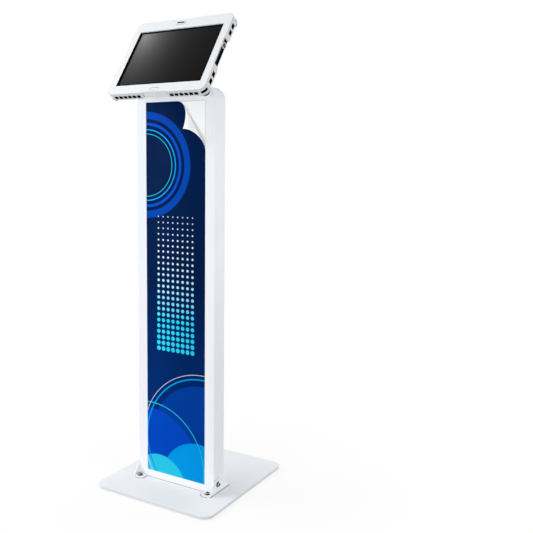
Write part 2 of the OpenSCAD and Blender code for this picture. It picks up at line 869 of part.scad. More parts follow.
// Door with hinge tabs below and a deep lip that closes the compartment's top
module rear_door() {
    color(white) at_post() difference() {
        union() {
            block(-door_x, door_x, rear_y - sheet_w, rear_y, door_z - door_drop, door_top);
            block(-door_x, door_x, lip_in + lip_notch, rear_y - tiny, door_top - sheet_w, door_top);
            for (s = [-1, 1]) {
                translate([s * (door_x - lip_tab / 2), 0, door_top - sheet_w]) linear_extrude(sheet_w) {
                    translate([-lip_tab / 2, lip_in + lip_tab_r])
                        square([lip_tab, lip_notch - lip_tab_r + over]);
                    translate([-lip_tab / 2 + lip_tab_r, lip_in])
                        square([lip_tab - 2 * lip_tab_r, lip_notch + over]);
                    for (x = [-1, 1])
                        translate([x * (lip_tab / 2 - lip_tab_r), lip_in + lip_tab_r]) circle(lip_tab_r);
                }
                translate([s * (tab_x0 + tab_t / 2), pin_y, door_z]) {
                    rod_x(2 * tab_r, -tab_t / 2, tab_t);
                    block(-tab_t / 2, tab_t / 2, 0, tab_r - tiny, -door_drop, tab_r + tab_rise);
                }
            }
        }
        translate([0, pin_y, door_z]) rod_x(pin_d + 2 * screw_fit, -win_x, 2 * win_x);
        for (s = [-1, 1])
            translate([s * (tab_x1 + win_x) / 2, 0, door_z])
                block((tab_x1 - win_x) / 2, (win_x - tab_x1) / 2, pin_y, rear_y + over,
                    -door_drop - over, bush_flange_d / 2 + seat);
        translate([stud_x, 0, stud_z]) rod_y(stud_rivet_d, rear_y - sheet_w - over, sheet_w + 2 * over);
    }
}

module door_pins() {
    color(steel) at_post() for (s = [-1, 1])
        translate([s * (tab_x0 + pin_end) / 2, pin_y, door_z])
            rod_x(pin_d, (tab_x0 - pin_end) / 2, pin_end - tab_x0);
}

module door_stud() {
    color(nickel) at_post() translate([stud_x, stud_rear, stud_z]) rotate([90, 0, 0]) rotate_extrude()
        polygon([[0, -sheet_w], [stud_rivet_d / 2, -sheet_w], [stud_rivet_d / 2, 0], [stud_foot_d / 2, 0],
            [stud_foot_d / 2, stud_foot_h], [stud_stem_d / 2, stud_foot_h + stud_stem_d / 5],
            [stud_stem_d / 2, stud_l - stud_neck], [stud_head_d / 2, stud_l - 2 * stud_crown],
            [stud_head_d / 2, stud_l - stud_crown], [stud_head_d * 0.3, stud_l], [0, stud_l]]);
}

// Channel welded on the post's top beam; its rear plate laps the beam
module neck_bracket() {
    color(white) at_post() difference() {
        union() {
            block(-neck_w / 2, neck_w / 2, rear_y, rear_y + neck_t,
                post_top - neck_lap, pivot_z + neck_back);
            for (s = [-1, 1])
                translate([s * (neck_w / 2 - neck_t / 2), 0, 0]) along_x(-neck_t / 2, neck_t) {
                    polygon([[neck_front, post_top], [rear_y + neck_t / 2, post_top],
                        [rear_y + neck_t / 2, pivot_z + neck_back],
                        [rear_y - neck_top_d, pivot_z + neck_back],
                        [pivot_y + neck_boss_r, pivot_z], [pivot_y - neck_boss_r, pivot_z]]);
                    translate([pivot_y, pivot_z]) circle(neck_boss_r);
                }
        }
        translate([0, pivot_y, pivot_z]) rod_x(tilt_d + 2 * run, -neck_w, 2 * neck_w);
    }
}

// Bracket that straddles the neck and carries the turning disc
module tilt_yoke() {
    color(white) at_head() difference() {
        union() {
            along_y(yoke_y - yoke_t, yoke_t) round_rect(2 * yoke_x, yoke_h + 2 * yoke_rim, yoke_r);
            for (s = [-1, 1])
                translate([s * (ear_x + ear_t / 2), 0, 0]) along_x(-ear_t / 2, ear_t)
                    polygon([[yoke_y - tiny, -yoke_h / 2], [yoke_y - tiny, yoke_h / 2], [2, yoke_hip],
                        [yoke_nose, yoke_tip], [yoke_nose, -yoke_tip], [2, -yoke_hip]]);
        }
        rod_x(tilt_d + 2 * screw_fit, -2 * yoke_x, 4 * yoke_x);
        rod_y(spin_d + 2 * screw_fit, yoke_y - yoke_t - over, yoke_t + 2 * over);
    }
}

module tilt_bolt() {
    color(nickel) at_head() {
        rod_x(tilt_d, -yoke_x, 2 * yoke_x);
        translate([yoke_x, 0, 0]) rotate([0, 90, 0]) socket_screw(tilt_d, over, tilt_head_d, tilt_head_h);
        translate([-yoke_x - tilt_head_h, 0, 0]) rotate([0, 90, 0])
            cylinder(d = tilt_head_d, h = tilt_head_h, $fn = 6);
    }
}

module tilt_washers() {
    color(black) at_head() for (s = [-1, 1])
        translate([s * (ear_x - washer_t / 2), 0, 0]) difference() {
            rod_x(washer_d, -washer_t / 2, washer_t);
            rod_x(tilt_d + 2 * screw_fit, -washer_t, 2 * washer_t);
        }
}

module turn_disc() {
    color(white) at_head() difference() {
        translate([0, disc_y, 0]) rotate([90, 0, 0]) rotate_extrude()
            polygon([[0, 0], [disc_d / 2 - disc_edge, 0], [disc_d / 2, disc_edge], [disc_d / 2, disc_t],
                [0, disc_t]]);
        rod_y(spin_d + 2 * screw_fit, disc_y - disc_t - over, disc_t + 2 * over);
    }
}

// Pin on which the mounting plate turns
module turn_pin() {
    color(black) at_head() {
        rod_y(spin_d, plate_y - plate_t, yoke_y + spin_nut_h - plate_y + plate_t);
        rod_y(spin_head_d, plate_y - plate_t - seat - spin_head_h, spin_head_h);
        rod_y(spin_d, plate_y - plate_t - seat - tiny, seat + 2 * tiny);
        translate([0, yoke_y, 0]) rotate([-90, 0, 0]) cylinder(d = spin_nut_d, h = spin_nut_h, $fn = 6);
    }
}

module mount_plate() {
    color(white) at_head() difference() {
        along_y(plate_y - plate_t, plate_t) round_rect(plate_w, plate_w, plate_r);
        rod_y(spin_d + 2 * run, plate_y - plate_t - over, plate_t + 2 * over);
        for (x = [-1, 1], z = [-1, 1]) {
            translate([x * screw_pitch / 2, 0, z * screw_pitch / 2])
                rod_y(plate_m + 2 * screw_fit, plate_y - plate_t - over, plate_t + 2 * over);
            translate([x * (plate_w / 2 - small_hole_in), 0, z * (plate_w / 2 - small_hole_in)])
                rod_y(small_hole_d, plate_y - plate_t - over, plate_t + 2 * over);
        }
        for (s = [-1, 1])
            translate([s * notch_x, 0, plate_w / 2])
                block(-notch_w / 2, notch_w / 2, plate_y - plate_t - over, plate_y + over, -notch_h, over);
    }
}

module mount_screws() {
    color(nickel) at_head() for (x = [-1, 1], z = [-1, 1])
        translate([x * screw_pitch / 2, plate_y, z * screw_pitch / 2]) rotate([-90, 0, 0])
            socket_screw(plate_m, plate_t + rear_t - plate_spare, plate_head_d, plate_head_h);
}

module enclosure_rear() {
    color(white) at_head() difference() {
        union() {
            along_y(rear_in, rear_t)
                round_rect(enc_w - 2 * (side_t + seat), enc_h - 2 * (side_t + seat), enc_r - side_t - seat);
            for (x = [-1, 1], z = [-1, 1])
                translate([x * knob_x, 0, z * knob_z]) rod_y(boss_d, enc_back - tiny, boss_h);
            for (s = [-1, 1]) {
                translate([s * ring_x, ring_y, ring_z]) rod_x(ring_d, -ring_t / 2, ring_t);
                translate([0, 0, s * (enc_h / 2 - side_t - seat - flange_t / 2)])
                    block(seat - end_cut, end_cut - seat, enc_front + bezel_t + seat, rear_in + tiny,
                        -flange_t / 2, flange_t / 2);
            }
        }
        for (s = [-1, 1]) {
            translate([s * (enc_w / 2 - step_w / 2), 0, 0])
                block(-step_w / 2, step_w / 2, enc_back - step_t, enc_back + over, -step_side, step_side);
            translate([0, 0, s * (enc_h / 2 - step_w / 2)])
                block(-step_end, step_end, enc_back - step_t, enc_back + over, -step_w / 2, step_w / 2);
        }
        for (s = [-1, 1])
            translate([s * ring_x, ring_y, ring_z]) rod_x(ring_bore, -ring_t, 2 * ring_t);
        rod_y(spin_well_d, rear_in - over, rear_t + 2 * over);
        translate([eye_x, 0, eye_z]) rod_y(eye_d, rear_in - over, rear_t + 2 * over);
        for (x = [-1, 1], z = [-1, 1]) {
            translate([x * screw_pitch / 2, 0, z * screw_pitch / 2])
                rod_y(plate_m + 2 * screw_fit, rear_in - over, rear_t + 2 * over);
            translate([x * shell_screw_x, 0, z * shell_screw_z])
                rod_y(small_m + 2 * screw_fit, rear_in - over, rear_t + 2 * over);
            translate([x * edge_hole_x, 0, z * edge_hole_z])
                rod_y(edge_hole_d, rear_in - over, rear_t + 2 * over);
            translate([x * knob_x, 0, z * knob_z])
                rod_y(knob_stem_d + 2 * screw_fit, rear_in - over, rear_t + boss_h + 2 * over);
        }
    }
}

// Vent slots through the walls of the corner blocks
module wall_slots() {
    for (s = [-1, 1]) {
        for (i = [0:slot_n - 1])
            translate([s * (slot_first + i * slot_pitch), slot_y, -enc_h / 2])
                block(-slot_w / 2, slot_w / 2, -slot_d / 2, slot_d / 2, -slot_cut, slot_cut);
        for (z = [-side_slot_b, -side_slot_a, side_slot_a, side_slot_b])
            translate([s * enc_w / 2, side_slot_y, z])
                block(-slot_cut, slot_cut, -side_slot_d / 2, side_slot_d / 2,
                    -side_slot_h / 2, side_slot_h / 2);
        for (z = [-1, 1])
            translate([s * (enc_w / 2 - enc_r), slot_y, z * (enc_h / 2 - enc_r)])
                rotate([0, -s * z * 45, 0]) translate([s * enc_r, 0, 0])
                    block(-slot_cut, slot_cut, -slot_d / 2, slot_d / 2,
                        -corner_slot_w / 2, corner_slot_w / 2);
    }
}

// Gap between two corner blocks, whose rear corners are rounded, and the shallow step beside it
module wall_gap(half) {
    translate([-half, enc_front + bezel_t]) square([2 * half, enc_d]);
    for (s = [-1, 1])
        translate([s * (half + gap_r), enc_back - gap_r]) difference() {
            translate([-s * gap_r / 2, gap_r / 2 + over / 2]) square([gap_r, gap_r + over], center = true);
            circle(gap_r);
        }
}

module wall_gaps() {
    linear_extrude(2 * enc_h, center = true) wall_gap(end_cut);
    rotate([0, 90, 0]) linear_extrude(2 * enc_w, center = true) wall_gap(side_cut);
}

// Front of the enclosure: bezel, screen opening and four corner blocks with the sides cut away
module enclosure_front() {
    color(white) at_head() difference() {
        union() {
            along_y(enc_front, bezel_t) round_rect(enc_w, enc_h, enc_r);
            difference() {
                along_y(enc_front + bezel_t - tiny, enc_d - bezel_t) round_rect(enc_w, enc_h, enc_r);
                along_y(enc_front + bezel_t - over, enc_d + 2 * over)
                    round_rect(enc_w - 2 * side_t, enc_h - 2 * side_t, enc_r - side_t);
                wall_gaps();
            }
            translate([cam_x, 0, cam_z]) along_y(enc_front - cam_rise, cam_rise + bezel_t / 2)
                rotate([0, 0, 90]) stadium(cam_h + 2 * cam_rim, cam_w + 2 * cam_rim);
        }
        for (s = [-1, 1]) {
            translate([s * enc_w / 2, 0, 0])
                block(-mid_set, mid_set, enc_front - over, enc_back, -side_cut, side_cut);
            translate([0, 0, s * enc_h / 2])
                block(-end_cut, end_cut, enc_front - over, enc_back, -mid_set, mid_set);
        }
        block(-open_w / 2, open_w / 2, enc_front - over, enc_front + bezel_t + over,
            open_dz - open_h / 2, open_dz + open_h / 2);
        translate([cam_x, 0, cam_z]) along_y(enc_front - cam_rise - over, cam_rise + bezel_t + 2 * over)
            rotate([0, 0, 90]) stadium(cam_h, cam_w);
        for (z = [-1, 1])
            translate([dot_x, 0, cam_z + z * dot_z]) rod_y(dot_d, enc_front - over, bezel_t + 2 * over);
        translate([0, 0, key_z]) along_y(enc_front - over, bezel_t + 2 * over)
            rotate([0, 0, 90]) stadium(key_h + 2 * key_gap, key_w + 2 * key_gap);
        wall_slots();
    }
}

module corner_knobs() {
    color(black) at_head() for (x = [-1, 1], z = [-1, 1])
        translate([x * knob_x, enc_back + boss_h, z * knob_z]) difference() {
            rotate([-90, 0, 0]) rotate_extrude()
                polygon([[0, -rear_t], [knob_stem_d / 2, -rear_t], [knob_stem_d / 2, 0], [knob_d / 2, 0],
                    [knob_d / 2, knob_h - knob_edge], [knob_d / 2 - knob_edge, knob_h], [0, knob_h]]);
            translate([0, knob_h - knob_hex_h, 0]) rotate([-90, 0, 0])
                cylinder(d = knob_hex, h = knob_hex_h + over, $fn = 6);
        }
}

module shell_screws() {
    color(nickel) at_head() for (x = [-1, 1], z = [-1, 1])
        translate([x * shell_screw_x, enc_back, z * shell_screw_z]) rotate([-90, 0, 0])
            socket_screw(small_m, rear_t, shell_head_d, shell_head_h);
}

module tablet_body() {
    color(black) at_head() along_y(body_y, body_t) round_rect(tablet_w, tablet_h, tablet_r);
}

module tablet_glass() {
    color([0.12, 0.12, 0.13]) at_head() difference() {
        along_y(glass_y, glass_t)
            round_rect(tablet_w - 2 * glass_in, tablet_h - 2 * glass_in, tablet_r - glass_in);
        translate([0, 0, key_z]) along_y(glass_y - over, glass_t + 2 * over)
            rotate([0, 0, 90]) stadium(key_h + 2 * key_room, key_w + 2 * key_room);
    }
}

module tablet_foam() {
    color(black) at_head() for (x = [-1, 1], z = [-1, 1])
        translate([x * (tablet_w / 2 - foam_w), body_y + body_t, z * (tablet_h / 2 - foam_h - foam_in)])
            block(-foam_w / 2, foam_w / 2, 0, rear_in - body_y - body_t, -foam_h / 2, foam_h / 2);
}

module home_key() {
    color(white) at_head() translate([0, 0, key_z])
        along_y(enc_front + key_sink, body_y - enc_front - key_sink - key_travel - key_float)
            rotate([0, 0, 90]) stadium(key_h, key_w);
}

base_plate();
base_pads();
post_frame();
front_panel();
panel_rails();
graphic_sheet();
foot_bracket_left();
foot_bracket_right();
foot_screws();
ear_screws();
cable_liner();
pocket_tall();
pocket_short();
power_adapter();
adapter_plug();
adapter_lead();
cord_grommets();
power_port();
stud_socket();
bolt_body();
bolt_keeper();
bolt_screws();
bolt_rod();
door_bushings();
rear_door();
door_pins();
door_stud();
neck_bracket();
tilt_yoke();
tilt_bolt();
tilt_washers();
turn_disc();
turn_pin();
mount_plate();
mount_screws();
enclosure_rear();
enclosure_front();
corner_knobs();
shell_screws();
tablet_body();
tablet_glass();
tablet_foam();
home_key();
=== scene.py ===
# %% [markdown]
# # A floor stand for a tablet, dressed for its picture
# The stand is a sheet-steel product: a flat base, a hollow post with a printed panel in its window,
# a cable compartment behind a drop door, and a tilting enclosure that clamps a tablet.
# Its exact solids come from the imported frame. This lesson gives them softened edges, real finishes,
# a print that peels at one corner, and a studio to stand in.

# %% Load the frame
import json
import math

import bmesh
import bpy
from mathutils import Matrix, Vector


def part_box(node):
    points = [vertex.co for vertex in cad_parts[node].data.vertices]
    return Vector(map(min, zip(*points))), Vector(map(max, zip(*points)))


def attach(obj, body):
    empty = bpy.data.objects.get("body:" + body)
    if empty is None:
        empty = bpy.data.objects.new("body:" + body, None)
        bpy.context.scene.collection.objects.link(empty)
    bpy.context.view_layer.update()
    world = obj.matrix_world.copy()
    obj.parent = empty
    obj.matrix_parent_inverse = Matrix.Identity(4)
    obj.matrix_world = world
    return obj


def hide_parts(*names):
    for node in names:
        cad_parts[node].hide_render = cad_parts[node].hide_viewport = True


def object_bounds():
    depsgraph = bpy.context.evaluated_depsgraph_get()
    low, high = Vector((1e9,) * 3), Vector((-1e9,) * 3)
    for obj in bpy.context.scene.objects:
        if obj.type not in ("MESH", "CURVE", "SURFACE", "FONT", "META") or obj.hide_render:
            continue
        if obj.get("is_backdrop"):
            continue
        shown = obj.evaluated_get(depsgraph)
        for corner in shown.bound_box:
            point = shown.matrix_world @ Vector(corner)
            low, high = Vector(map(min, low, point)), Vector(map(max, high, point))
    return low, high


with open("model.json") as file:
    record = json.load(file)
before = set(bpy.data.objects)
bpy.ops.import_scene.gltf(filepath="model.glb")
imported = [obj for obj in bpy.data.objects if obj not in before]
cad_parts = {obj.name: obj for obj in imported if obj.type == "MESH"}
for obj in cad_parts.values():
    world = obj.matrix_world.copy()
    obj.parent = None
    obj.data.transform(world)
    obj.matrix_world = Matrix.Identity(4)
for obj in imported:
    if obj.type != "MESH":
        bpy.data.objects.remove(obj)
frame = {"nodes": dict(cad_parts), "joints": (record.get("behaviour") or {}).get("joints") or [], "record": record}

CAD_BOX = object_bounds()
SCENE = bpy.context.scene
MM = 0.001
NODES = frame["nodes"]
RECORD = frame["record"]
BODY_OF = {n: body for body, nodes in RECORD["behaviour"]["bodies"].items() for n in nodes}
SLOT_OF = {part["node"]: part["material_slot"] for part in RECORD["subparts"]}

# %% [markdown]
# ## The camera
# The picture was taken from the front right, a little below the top of the post, with a normal lens. A
# camera could be placed by eye. Here it was solved from the corners of the post and the base. The stand
# is left of the lens axis, and a shift of the sensor puts it there, where a turn would lean the post.
# Upwards the shift is small, because the views from other sides keep it.

# %% Place the camera
def add_object(name, data):
    made = bpy.data.objects.new(name, data)
    SCENE.collection.objects.link(made)
    return made


IMAGE_PX = 533
FOCAL_PX = 756.09
AXIS_PX = (185.76, 236.12)
SENSOR_MM = 36.0
CAMERA_PLACE = (0.9395, -1.4301, 0.7449)
DOWN_DEG, TURN_DEG = 5.878, 33.745
camera_data = bpy.data.cameras.new("studio_camera")
camera_data.sensor_width = SENSOR_MM
camera_data.lens = FOCAL_PX / IMAGE_PX * SENSOR_MM
camera_data.shift_x = 0.5 - AXIS_PX[0] / IMAGE_PX
camera_data.shift_y = AXIS_PX[1] / IMAGE_PX - 0.5
camera = add_object("studio_camera", camera_data)
camera.location = CAMERA_PLACE
camera.rotation_euler = (math.radians(90 - DOWN_DEG), 0, math.radians(TURN_DEG))
bpy.context.scene.camera = camera
SCENE.view_settings.view_transform = "Standard"
shift = camera_data.shift_x, camera_data.shift_y
print("lens", round(camera_data.lens, 2), "mm, shift", [round(v, 4) for v in shift])

# %% [markdown]
# ## The studio
# A catalogue picture has a white sweep, one broad soft light from the front left and open shade
# elsewhere. A floor lit until it burns out would burn out a white product too. So floor and sky show
# white to the camera and to reflections only, and the light on the stand stays at a plain level. The
# floor keeps part of its shading, for the soft shadow under the base. From below it is clear.

# %% Node helpers, and a sky made with them
def feed(tree, socket, value):
    """Gives an input a number, a colour or another node's output."""
    if isinstance(value, bpy.types.NodeSocket):
        tree.links.new(value, socket)
    else:
        socket.default_value = value


def put(tree, kind, *values, **settings):
    """Adds a shader node, sets its properties and feeds its inputs, from the first one on."""
    made = tree.nodes.new(kind)
    for key, value in settings.items():
        setattr(made, key, value)
    for socket, value in zip(made.inputs, values):
        feed(tree, socket, value)
    return made


def maths(tree, operation, *values):
    """One Math node on numbers or outputs."""
    return put(tree, "ShaderNodeMath", *values, operation=operation).outputs[0]


def mixed(tree, share, first, second):
    """Colour between two others."""
    made = put(tree, "ShaderNodeMix", data_type="RGBA")
    for index, value in ((0, share), (6, first), (7, second)):
        feed(tree, made.inputs[index], value)
    return made.outputs[2]


def remap(tree, value, low, high, start=0.0, end=1.0):
    """Number that goes from low to high as value goes from start to end."""
    return put(tree, "ShaderNodeMapRange", value, start, end, low, high).outputs["Result"]


def seen_directly(tree):
    """One where a ray comes from the camera, a mirror or through glass."""
    path = put(tree, "ShaderNodeLightPath")
    either = maths(tree, "MAXIMUM", path.outputs["Is Camera Ray"], path.outputs["Is Glossy Ray"])
    return maths(tree, "MAXIMUM", either, path.outputs["Is Transmission Ray"])


def blank_tree(data):
    """Empty node tree of a world or a material."""
    data.use_nodes = True
    data.node_tree.nodes.clear()
    return data.node_tree


SHADE_COLOUR, SHADE_LEVEL = (0.975, 0.987, 1.0, 1), 0.50
SCENE.world = bpy.data.worlds.new("studio_sky")
sky = blank_tree(SCENE.world)
open_shade = put(sky, "ShaderNodeBackground", SHADE_COLOUR, SHADE_LEVEL)
white_sky = put(sky, "ShaderNodeBackground", (1, 1, 1, 1), 1.0)
chosen = put(sky, "ShaderNodeMixShader", seen_directly(sky), open_shade.outputs[0], white_sky.outputs[0])
put(sky, "ShaderNodeOutputWorld", chosen.outputs[0])
print("sky of", len(sky.nodes), "nodes")

# %% Floor and lamps
FLOOR_SIZE = 12.0
FLOOR_BOUNCE, FLOOR_WHITE = (0.45, 0.45, 0.45, 1), (0.97, 0.97, 0.97, 1)
SHADOW_NEAR, SHADOW_FAR = 0.22, 0.55
WHITE_NEAR, WHITE_FAR = 0.82, 1.0
floor_paint = bpy.data.materials.new("studio_floor")
tree = blank_tree(floor_paint)
glow = put(tree, "ShaderNodeEmission", (1, 1, 1, 1), 1.0)
direct = seen_directly(tree)
matt = put(tree, "ShaderNodeBsdfDiffuse", mixed(tree, direct, FLOOR_BOUNCE, FLOOR_WHITE))
place = put(tree, "ShaderNodeTexCoord").outputs["Object"]
from_middle = put(tree, "ShaderNodeVectorMath", place, operation="LENGTH").outputs["Value"]
white_share = remap(tree, from_middle, WHITE_NEAR, WHITE_FAR, SHADOW_NEAR, SHADOW_FAR)
glowing = maths(tree, "MULTIPLY", direct, white_share)
floor_mix = put(tree, "ShaderNodeMixShader", glowing, matt.outputs[0], glow.outputs[0])
below = put(tree, "ShaderNodeNewGeometry").outputs["Backfacing"]
clear = put(tree, "ShaderNodeBsdfTransparent")
open_below = put(tree, "ShaderNodeMixShader", below, floor_mix.outputs[0], clear.outputs[0])
put(tree, "ShaderNodeOutputMaterial", open_below.outputs[0])

bm = bmesh.new()
bmesh.ops.create_grid(bm, x_segments=1, y_segments=1, size=FLOOR_SIZE / 2)
floor_mesh = bpy.data.meshes.new("studio_floor")
bm.to_mesh(floor_mesh)
bm.free()
floor_mesh.materials.append(floor_paint)
add_object("studio_floor", floor_mesh)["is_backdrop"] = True


def softbox(name, place, target, width, height, watts):
    """Rectangular lamp turned towards a point."""
    data = bpy.data.lights.new(name, "AREA")
    data.shape = "RECTANGLE"
    data.size, data.size_y = width, height
    data.energy = watts
    lamp = add_object(name, data)
    lamp.location = place
    lamp.rotation_euler = (Vector(target) - Vector(place)).to_track_quat("-Z", "Y").to_euler()


softbox("key_light", (-2.6, -0.8, 2.0), (0, -0.1, 0.2), 2.2, 2.0, 60)
softbox("front_fill", (-0.5, -2.5, 0.5), (0, 0, 0.6), 1.6, 0.7, 25)
softbox("side_light", (2.8, -0.4, 1.0), (0, 0, 0.4), 1.4, 1.8, 23)
softbox("rear_light", (0.8, 2.9, 0.35), (0, 0, 0.6), 1.8, 1.2, 50)

# %% [markdown]
# ## Effects that several finishes share
# Powder coat, moulded plastic and plated steel all have a fine skin, a slow drift of tone and marks
# from handling. Each could be rebuilt in every material. A node group holds an effect once, with named
# sockets, and every finish places it with its own scale. The groups put out numbers that change over
# the surface, never a shader.

# %% Build the shared groups
def new_group(name, inputs, outputs):
    """Empty shader group with its sockets, and the nodes that stand for them inside."""
    group = bpy.data.node_groups.new(name, "ShaderNodeTree")
    for label in inputs:
        kind = "NodeSocketVector" if label == "Vector" else "NodeSocketFloat"
        group.interface.new_socket(name=label, in_out="INPUT", socket_type=kind)
    for label in outputs:
        group.interface.new_socket(name=label, in_out="OUTPUT", socket_type="NodeSocketFloat")
    return group, put(group, "NodeGroupInput").outputs, put(group, "NodeGroupOutput").inputs


def fill(tree, made, **values):
    """Feeds inputs of a node by name and returns its outputs."""
    for label, value in values.items():
        feed(tree, made.inputs[label], value)
    return made.outputs


def noise(tree, vector, scale, detail=2.0, distortion=0.0):
    made = put(tree, "ShaderNodeTexNoise")
    return fill(tree, made, Vector=vector, Scale=scale, Detail=detail, Distortion=distortion)["Fac"]


def use(tree, group, **values):
    """Places a group in a material and returns its outputs."""
    return fill(tree, put(tree, "ShaderNodeGroup", node_tree=group), **values)


DRIFT_SHARE = 0.012
BRUSHED_ALONG_X = (0.03, 1.0, 1.0)
skin, inner, outer = new_group("skin_grain", ("Vector", "Scale"), ("Height", "Tone"))
feed(skin, outer["Height"], noise(skin, inner["Vector"], inner["Scale"], 3.0))
feed(skin, outer["Tone"], noise(skin, inner["Vector"], maths(skin, "MULTIPLY", inner["Scale"], DRIFT_SHARE)))

handling, inner, outer = new_group("handling_marks", ("Vector", "Scale"), ("Smear",))
cloud = noise(handling, inner["Vector"], inner["Scale"], 5.0, 1.4)
feed(handling, outer["Smear"], remap(handling, cloud, 0.0, 1.0, 0.42, 0.72))

brushing, inner, outer = new_group("brushed_lines", ("Vector", "Scale"), ("Height", "Tone"))
stretch = put(brushing, "ShaderNodeMapping", inner["Vector"])
stretched = fill(brushing, stretch, Scale=BRUSHED_ALONG_X)["Vector"]
lines = noise(brushing, stretched, inner["Scale"], 4.0)
feed(brushing, outer["Height"], lines)
feed(brushing, outer["Tone"], remap(brushing, lines, 0.0, 1.0, 0.3, 0.7))
print("groups:", ", ".join(g.name for g in (skin, handling, brushing)))

# %% [markdown]
# ## The finishes
# White powder coat covers every steel part: satin and slightly uneven. Every finish also has a painted
# edge tone on the rounded strips, which the edge-softening step below marks with an attribute: mostly a
# painted shade along the edges, and on the base's cut edge a painted highlight. The black pieces are
# moulded with a fine grain, and the fittings are plated and brushed. A finish could be one flat colour,
# but then it reads as a drawing. Here colour, roughness and relief all vary a little.

# %% Make the white finishes
def new_finish(name):
    """Material with a Principled shader, and the object coordinates its patterns follow."""
    paint = bpy.data.materials.new(name)
    tree = blank_tree(paint)
    shader = put(tree, "ShaderNodeBsdfPrincipled")
    put(tree, "ShaderNodeOutputMaterial", shader.outputs[0])
    return paint, tree, shader.inputs, put(tree, "ShaderNodeTexCoord").outputs


def relief(tree, sockets, height, strength, depth):
    bump = fill(tree, put(tree, "ShaderNodeBump"), Strength=strength, Distance=depth, Height=height)
    feed(tree, sockets["Normal"], bump["Normal"])


def patterned(name, pattern, scale, marks_scale, tones, rough, bump, depth):
    """Finish with a light and a dark tone, a painted edge tone on the rounded strips, marked roughness and relief.
    """
    light, shade, painted_edge_tone = tones
    paint, tree, sockets, coords = new_finish(name)
    grain = use(tree, pattern, Vector=coords["Object"], Scale=scale)
    marks = use(tree, handling, Vector=coords["Object"], Scale=marks_scale)
    rim = put(tree, "ShaderNodeAttribute", attribute_name="rim").outputs["Fac"]
    colour = mixed(tree, grain["Tone"], light, shade)
    feed(tree, sockets["Base Color"], mixed(tree, rim, colour, painted_edge_tone))
    feed(tree, sockets["Roughness"], remap(tree, marks["Smear"], *rough))
    relief(tree, sockets, grain["Height"], bump, depth)
    return paint, sockets


def coated(name, *tones, rough=(0.44, 0.56), grain_scale=700.0, bump=0.06, shine=0.2):
    """Paint or moulded plastic. What isn't said is that of the powder coat."""
    paint, sockets = patterned(name, skin, grain_scale, 9.0, tones, rough, bump, 0.2 * MM)
    sockets["Specular IOR Level"].default_value = shine
    return paint


# The third tone of each finish is its painted edge tone: painted shade on the rounded edges, and a painted
# highlight on the base's cut edge.
WHITE_COAT = coated("white_powder_coat", (0.866, 0.890, 0.922, 1), (0.836, 0.862, 0.898, 1),
                    (0.730, 0.752, 0.784, 1))
WHITE_SHELL = coated("white_shell_coat", (0.815, 0.818, 0.822, 1), (0.780, 0.784, 0.790, 1),
                     (0.64, 0.645, 0.652, 1))
WHITE_BEZEL = coated("white_bezel_coat", (0.846, 0.864, 0.884, 1), (0.816, 0.836, 0.858, 1),
                     (0.58, 0.60, 0.625, 1))
# Darker copy of the bezel coat, a painted shade for the bezel's outer walls.
BEZEL_SIDE_SHADE = coated("white_bezel_side_shade", (0.720, 0.735, 0.752, 1), (0.694, 0.711, 0.729, 1),
                    (0.58, 0.60, 0.625, 1))
# Painted shade for the side faces of the base, with a painted highlight as its edge tone.
SHADED_CUT_EDGE = coated("white_cut_edge_shade", (0.76, 0.775, 0.80, 1), (0.73, 0.745, 0.77, 1), (0.88, 0.895, 0.92, 1))
WHITE_MOULDED = coated("white_moulding", (0.86, 0.88, 0.91, 1), (0.83, 0.85, 0.885, 1),
                       (0.70, 0.72, 0.76, 1), rough=(0.26, 0.36), grain_scale=1400.0, bump=0.03)
BOARD_WHITE = coated("white_board", (0.985, 0.986, 0.988, 1), (0.970, 0.972, 0.975, 1),
                     (0.89, 0.895, 0.90, 1), rough=(0.58, 0.70), grain_scale=900.0, bump=0.05)
print(sum(paint.name.startswith("white") for paint in bpy.data.materials), "white finishes")

# %% Make the black and the plated finishes
def grey(level):
    return (level, level, level, 1)


def plated(name, *tones, rough=(0.20, 0.36), line_scale=900.0):
    """Brushed and plated metal, with a painted edge tone on its rounded strips: painted shade on bright metal, a
    faint painted highlight on blackened steel.
    """
    paint, sockets = patterned(name, brushing, line_scale, 40.0, tones, rough, 0.12, 0.1 * MM)
    sockets["Metallic"].default_value = 1.0
    return paint


BLACK_MOULDED = coated("black_moulding", grey(0.007), grey(0.011), grey(0.016),
                       rough=(0.34, 0.50), grain_scale=1600.0, bump=0.20, shine=0.09)
# Black rubber for the rubber parts. The same finish is the painted shade on the walls of slots and openings.
BLACK_RUBBER_AND_SHADE = coated("black_rubber", grey(0.006), grey(0.010), grey(0.014),
                      rough=(0.72, 0.88), grain_scale=900.0, bump=0.35, shine=0.02)
# Near-black painted shade for the inside of the post's columns.
SHADED_INSIDE = coated("painted_shade_inside", grey(0.010), grey(0.018), grey(0.018),
                     rough=(0.60, 0.80), grain_scale=500.0, bump=0.10, shine=0.02)
NICKEL = plated("nickel_plate", (0.54, 0.52, 0.48, 1), (0.40, 0.385, 0.36, 1), (0.13, 0.127, 0.12, 1))
SCREW_PLATE = plated("nickel_screws", (0.36, 0.347, 0.322, 1), (0.24, 0.232, 0.216, 1),
                     (0.10, 0.097, 0.09, 1))
STEEL = plated("bright_steel", (0.58, 0.59, 0.60, 1), (0.46, 0.47, 0.49, 1), (0.16, 0.163, 0.168, 1),
               rough=(0.24, 0.42), line_scale=1200.0)
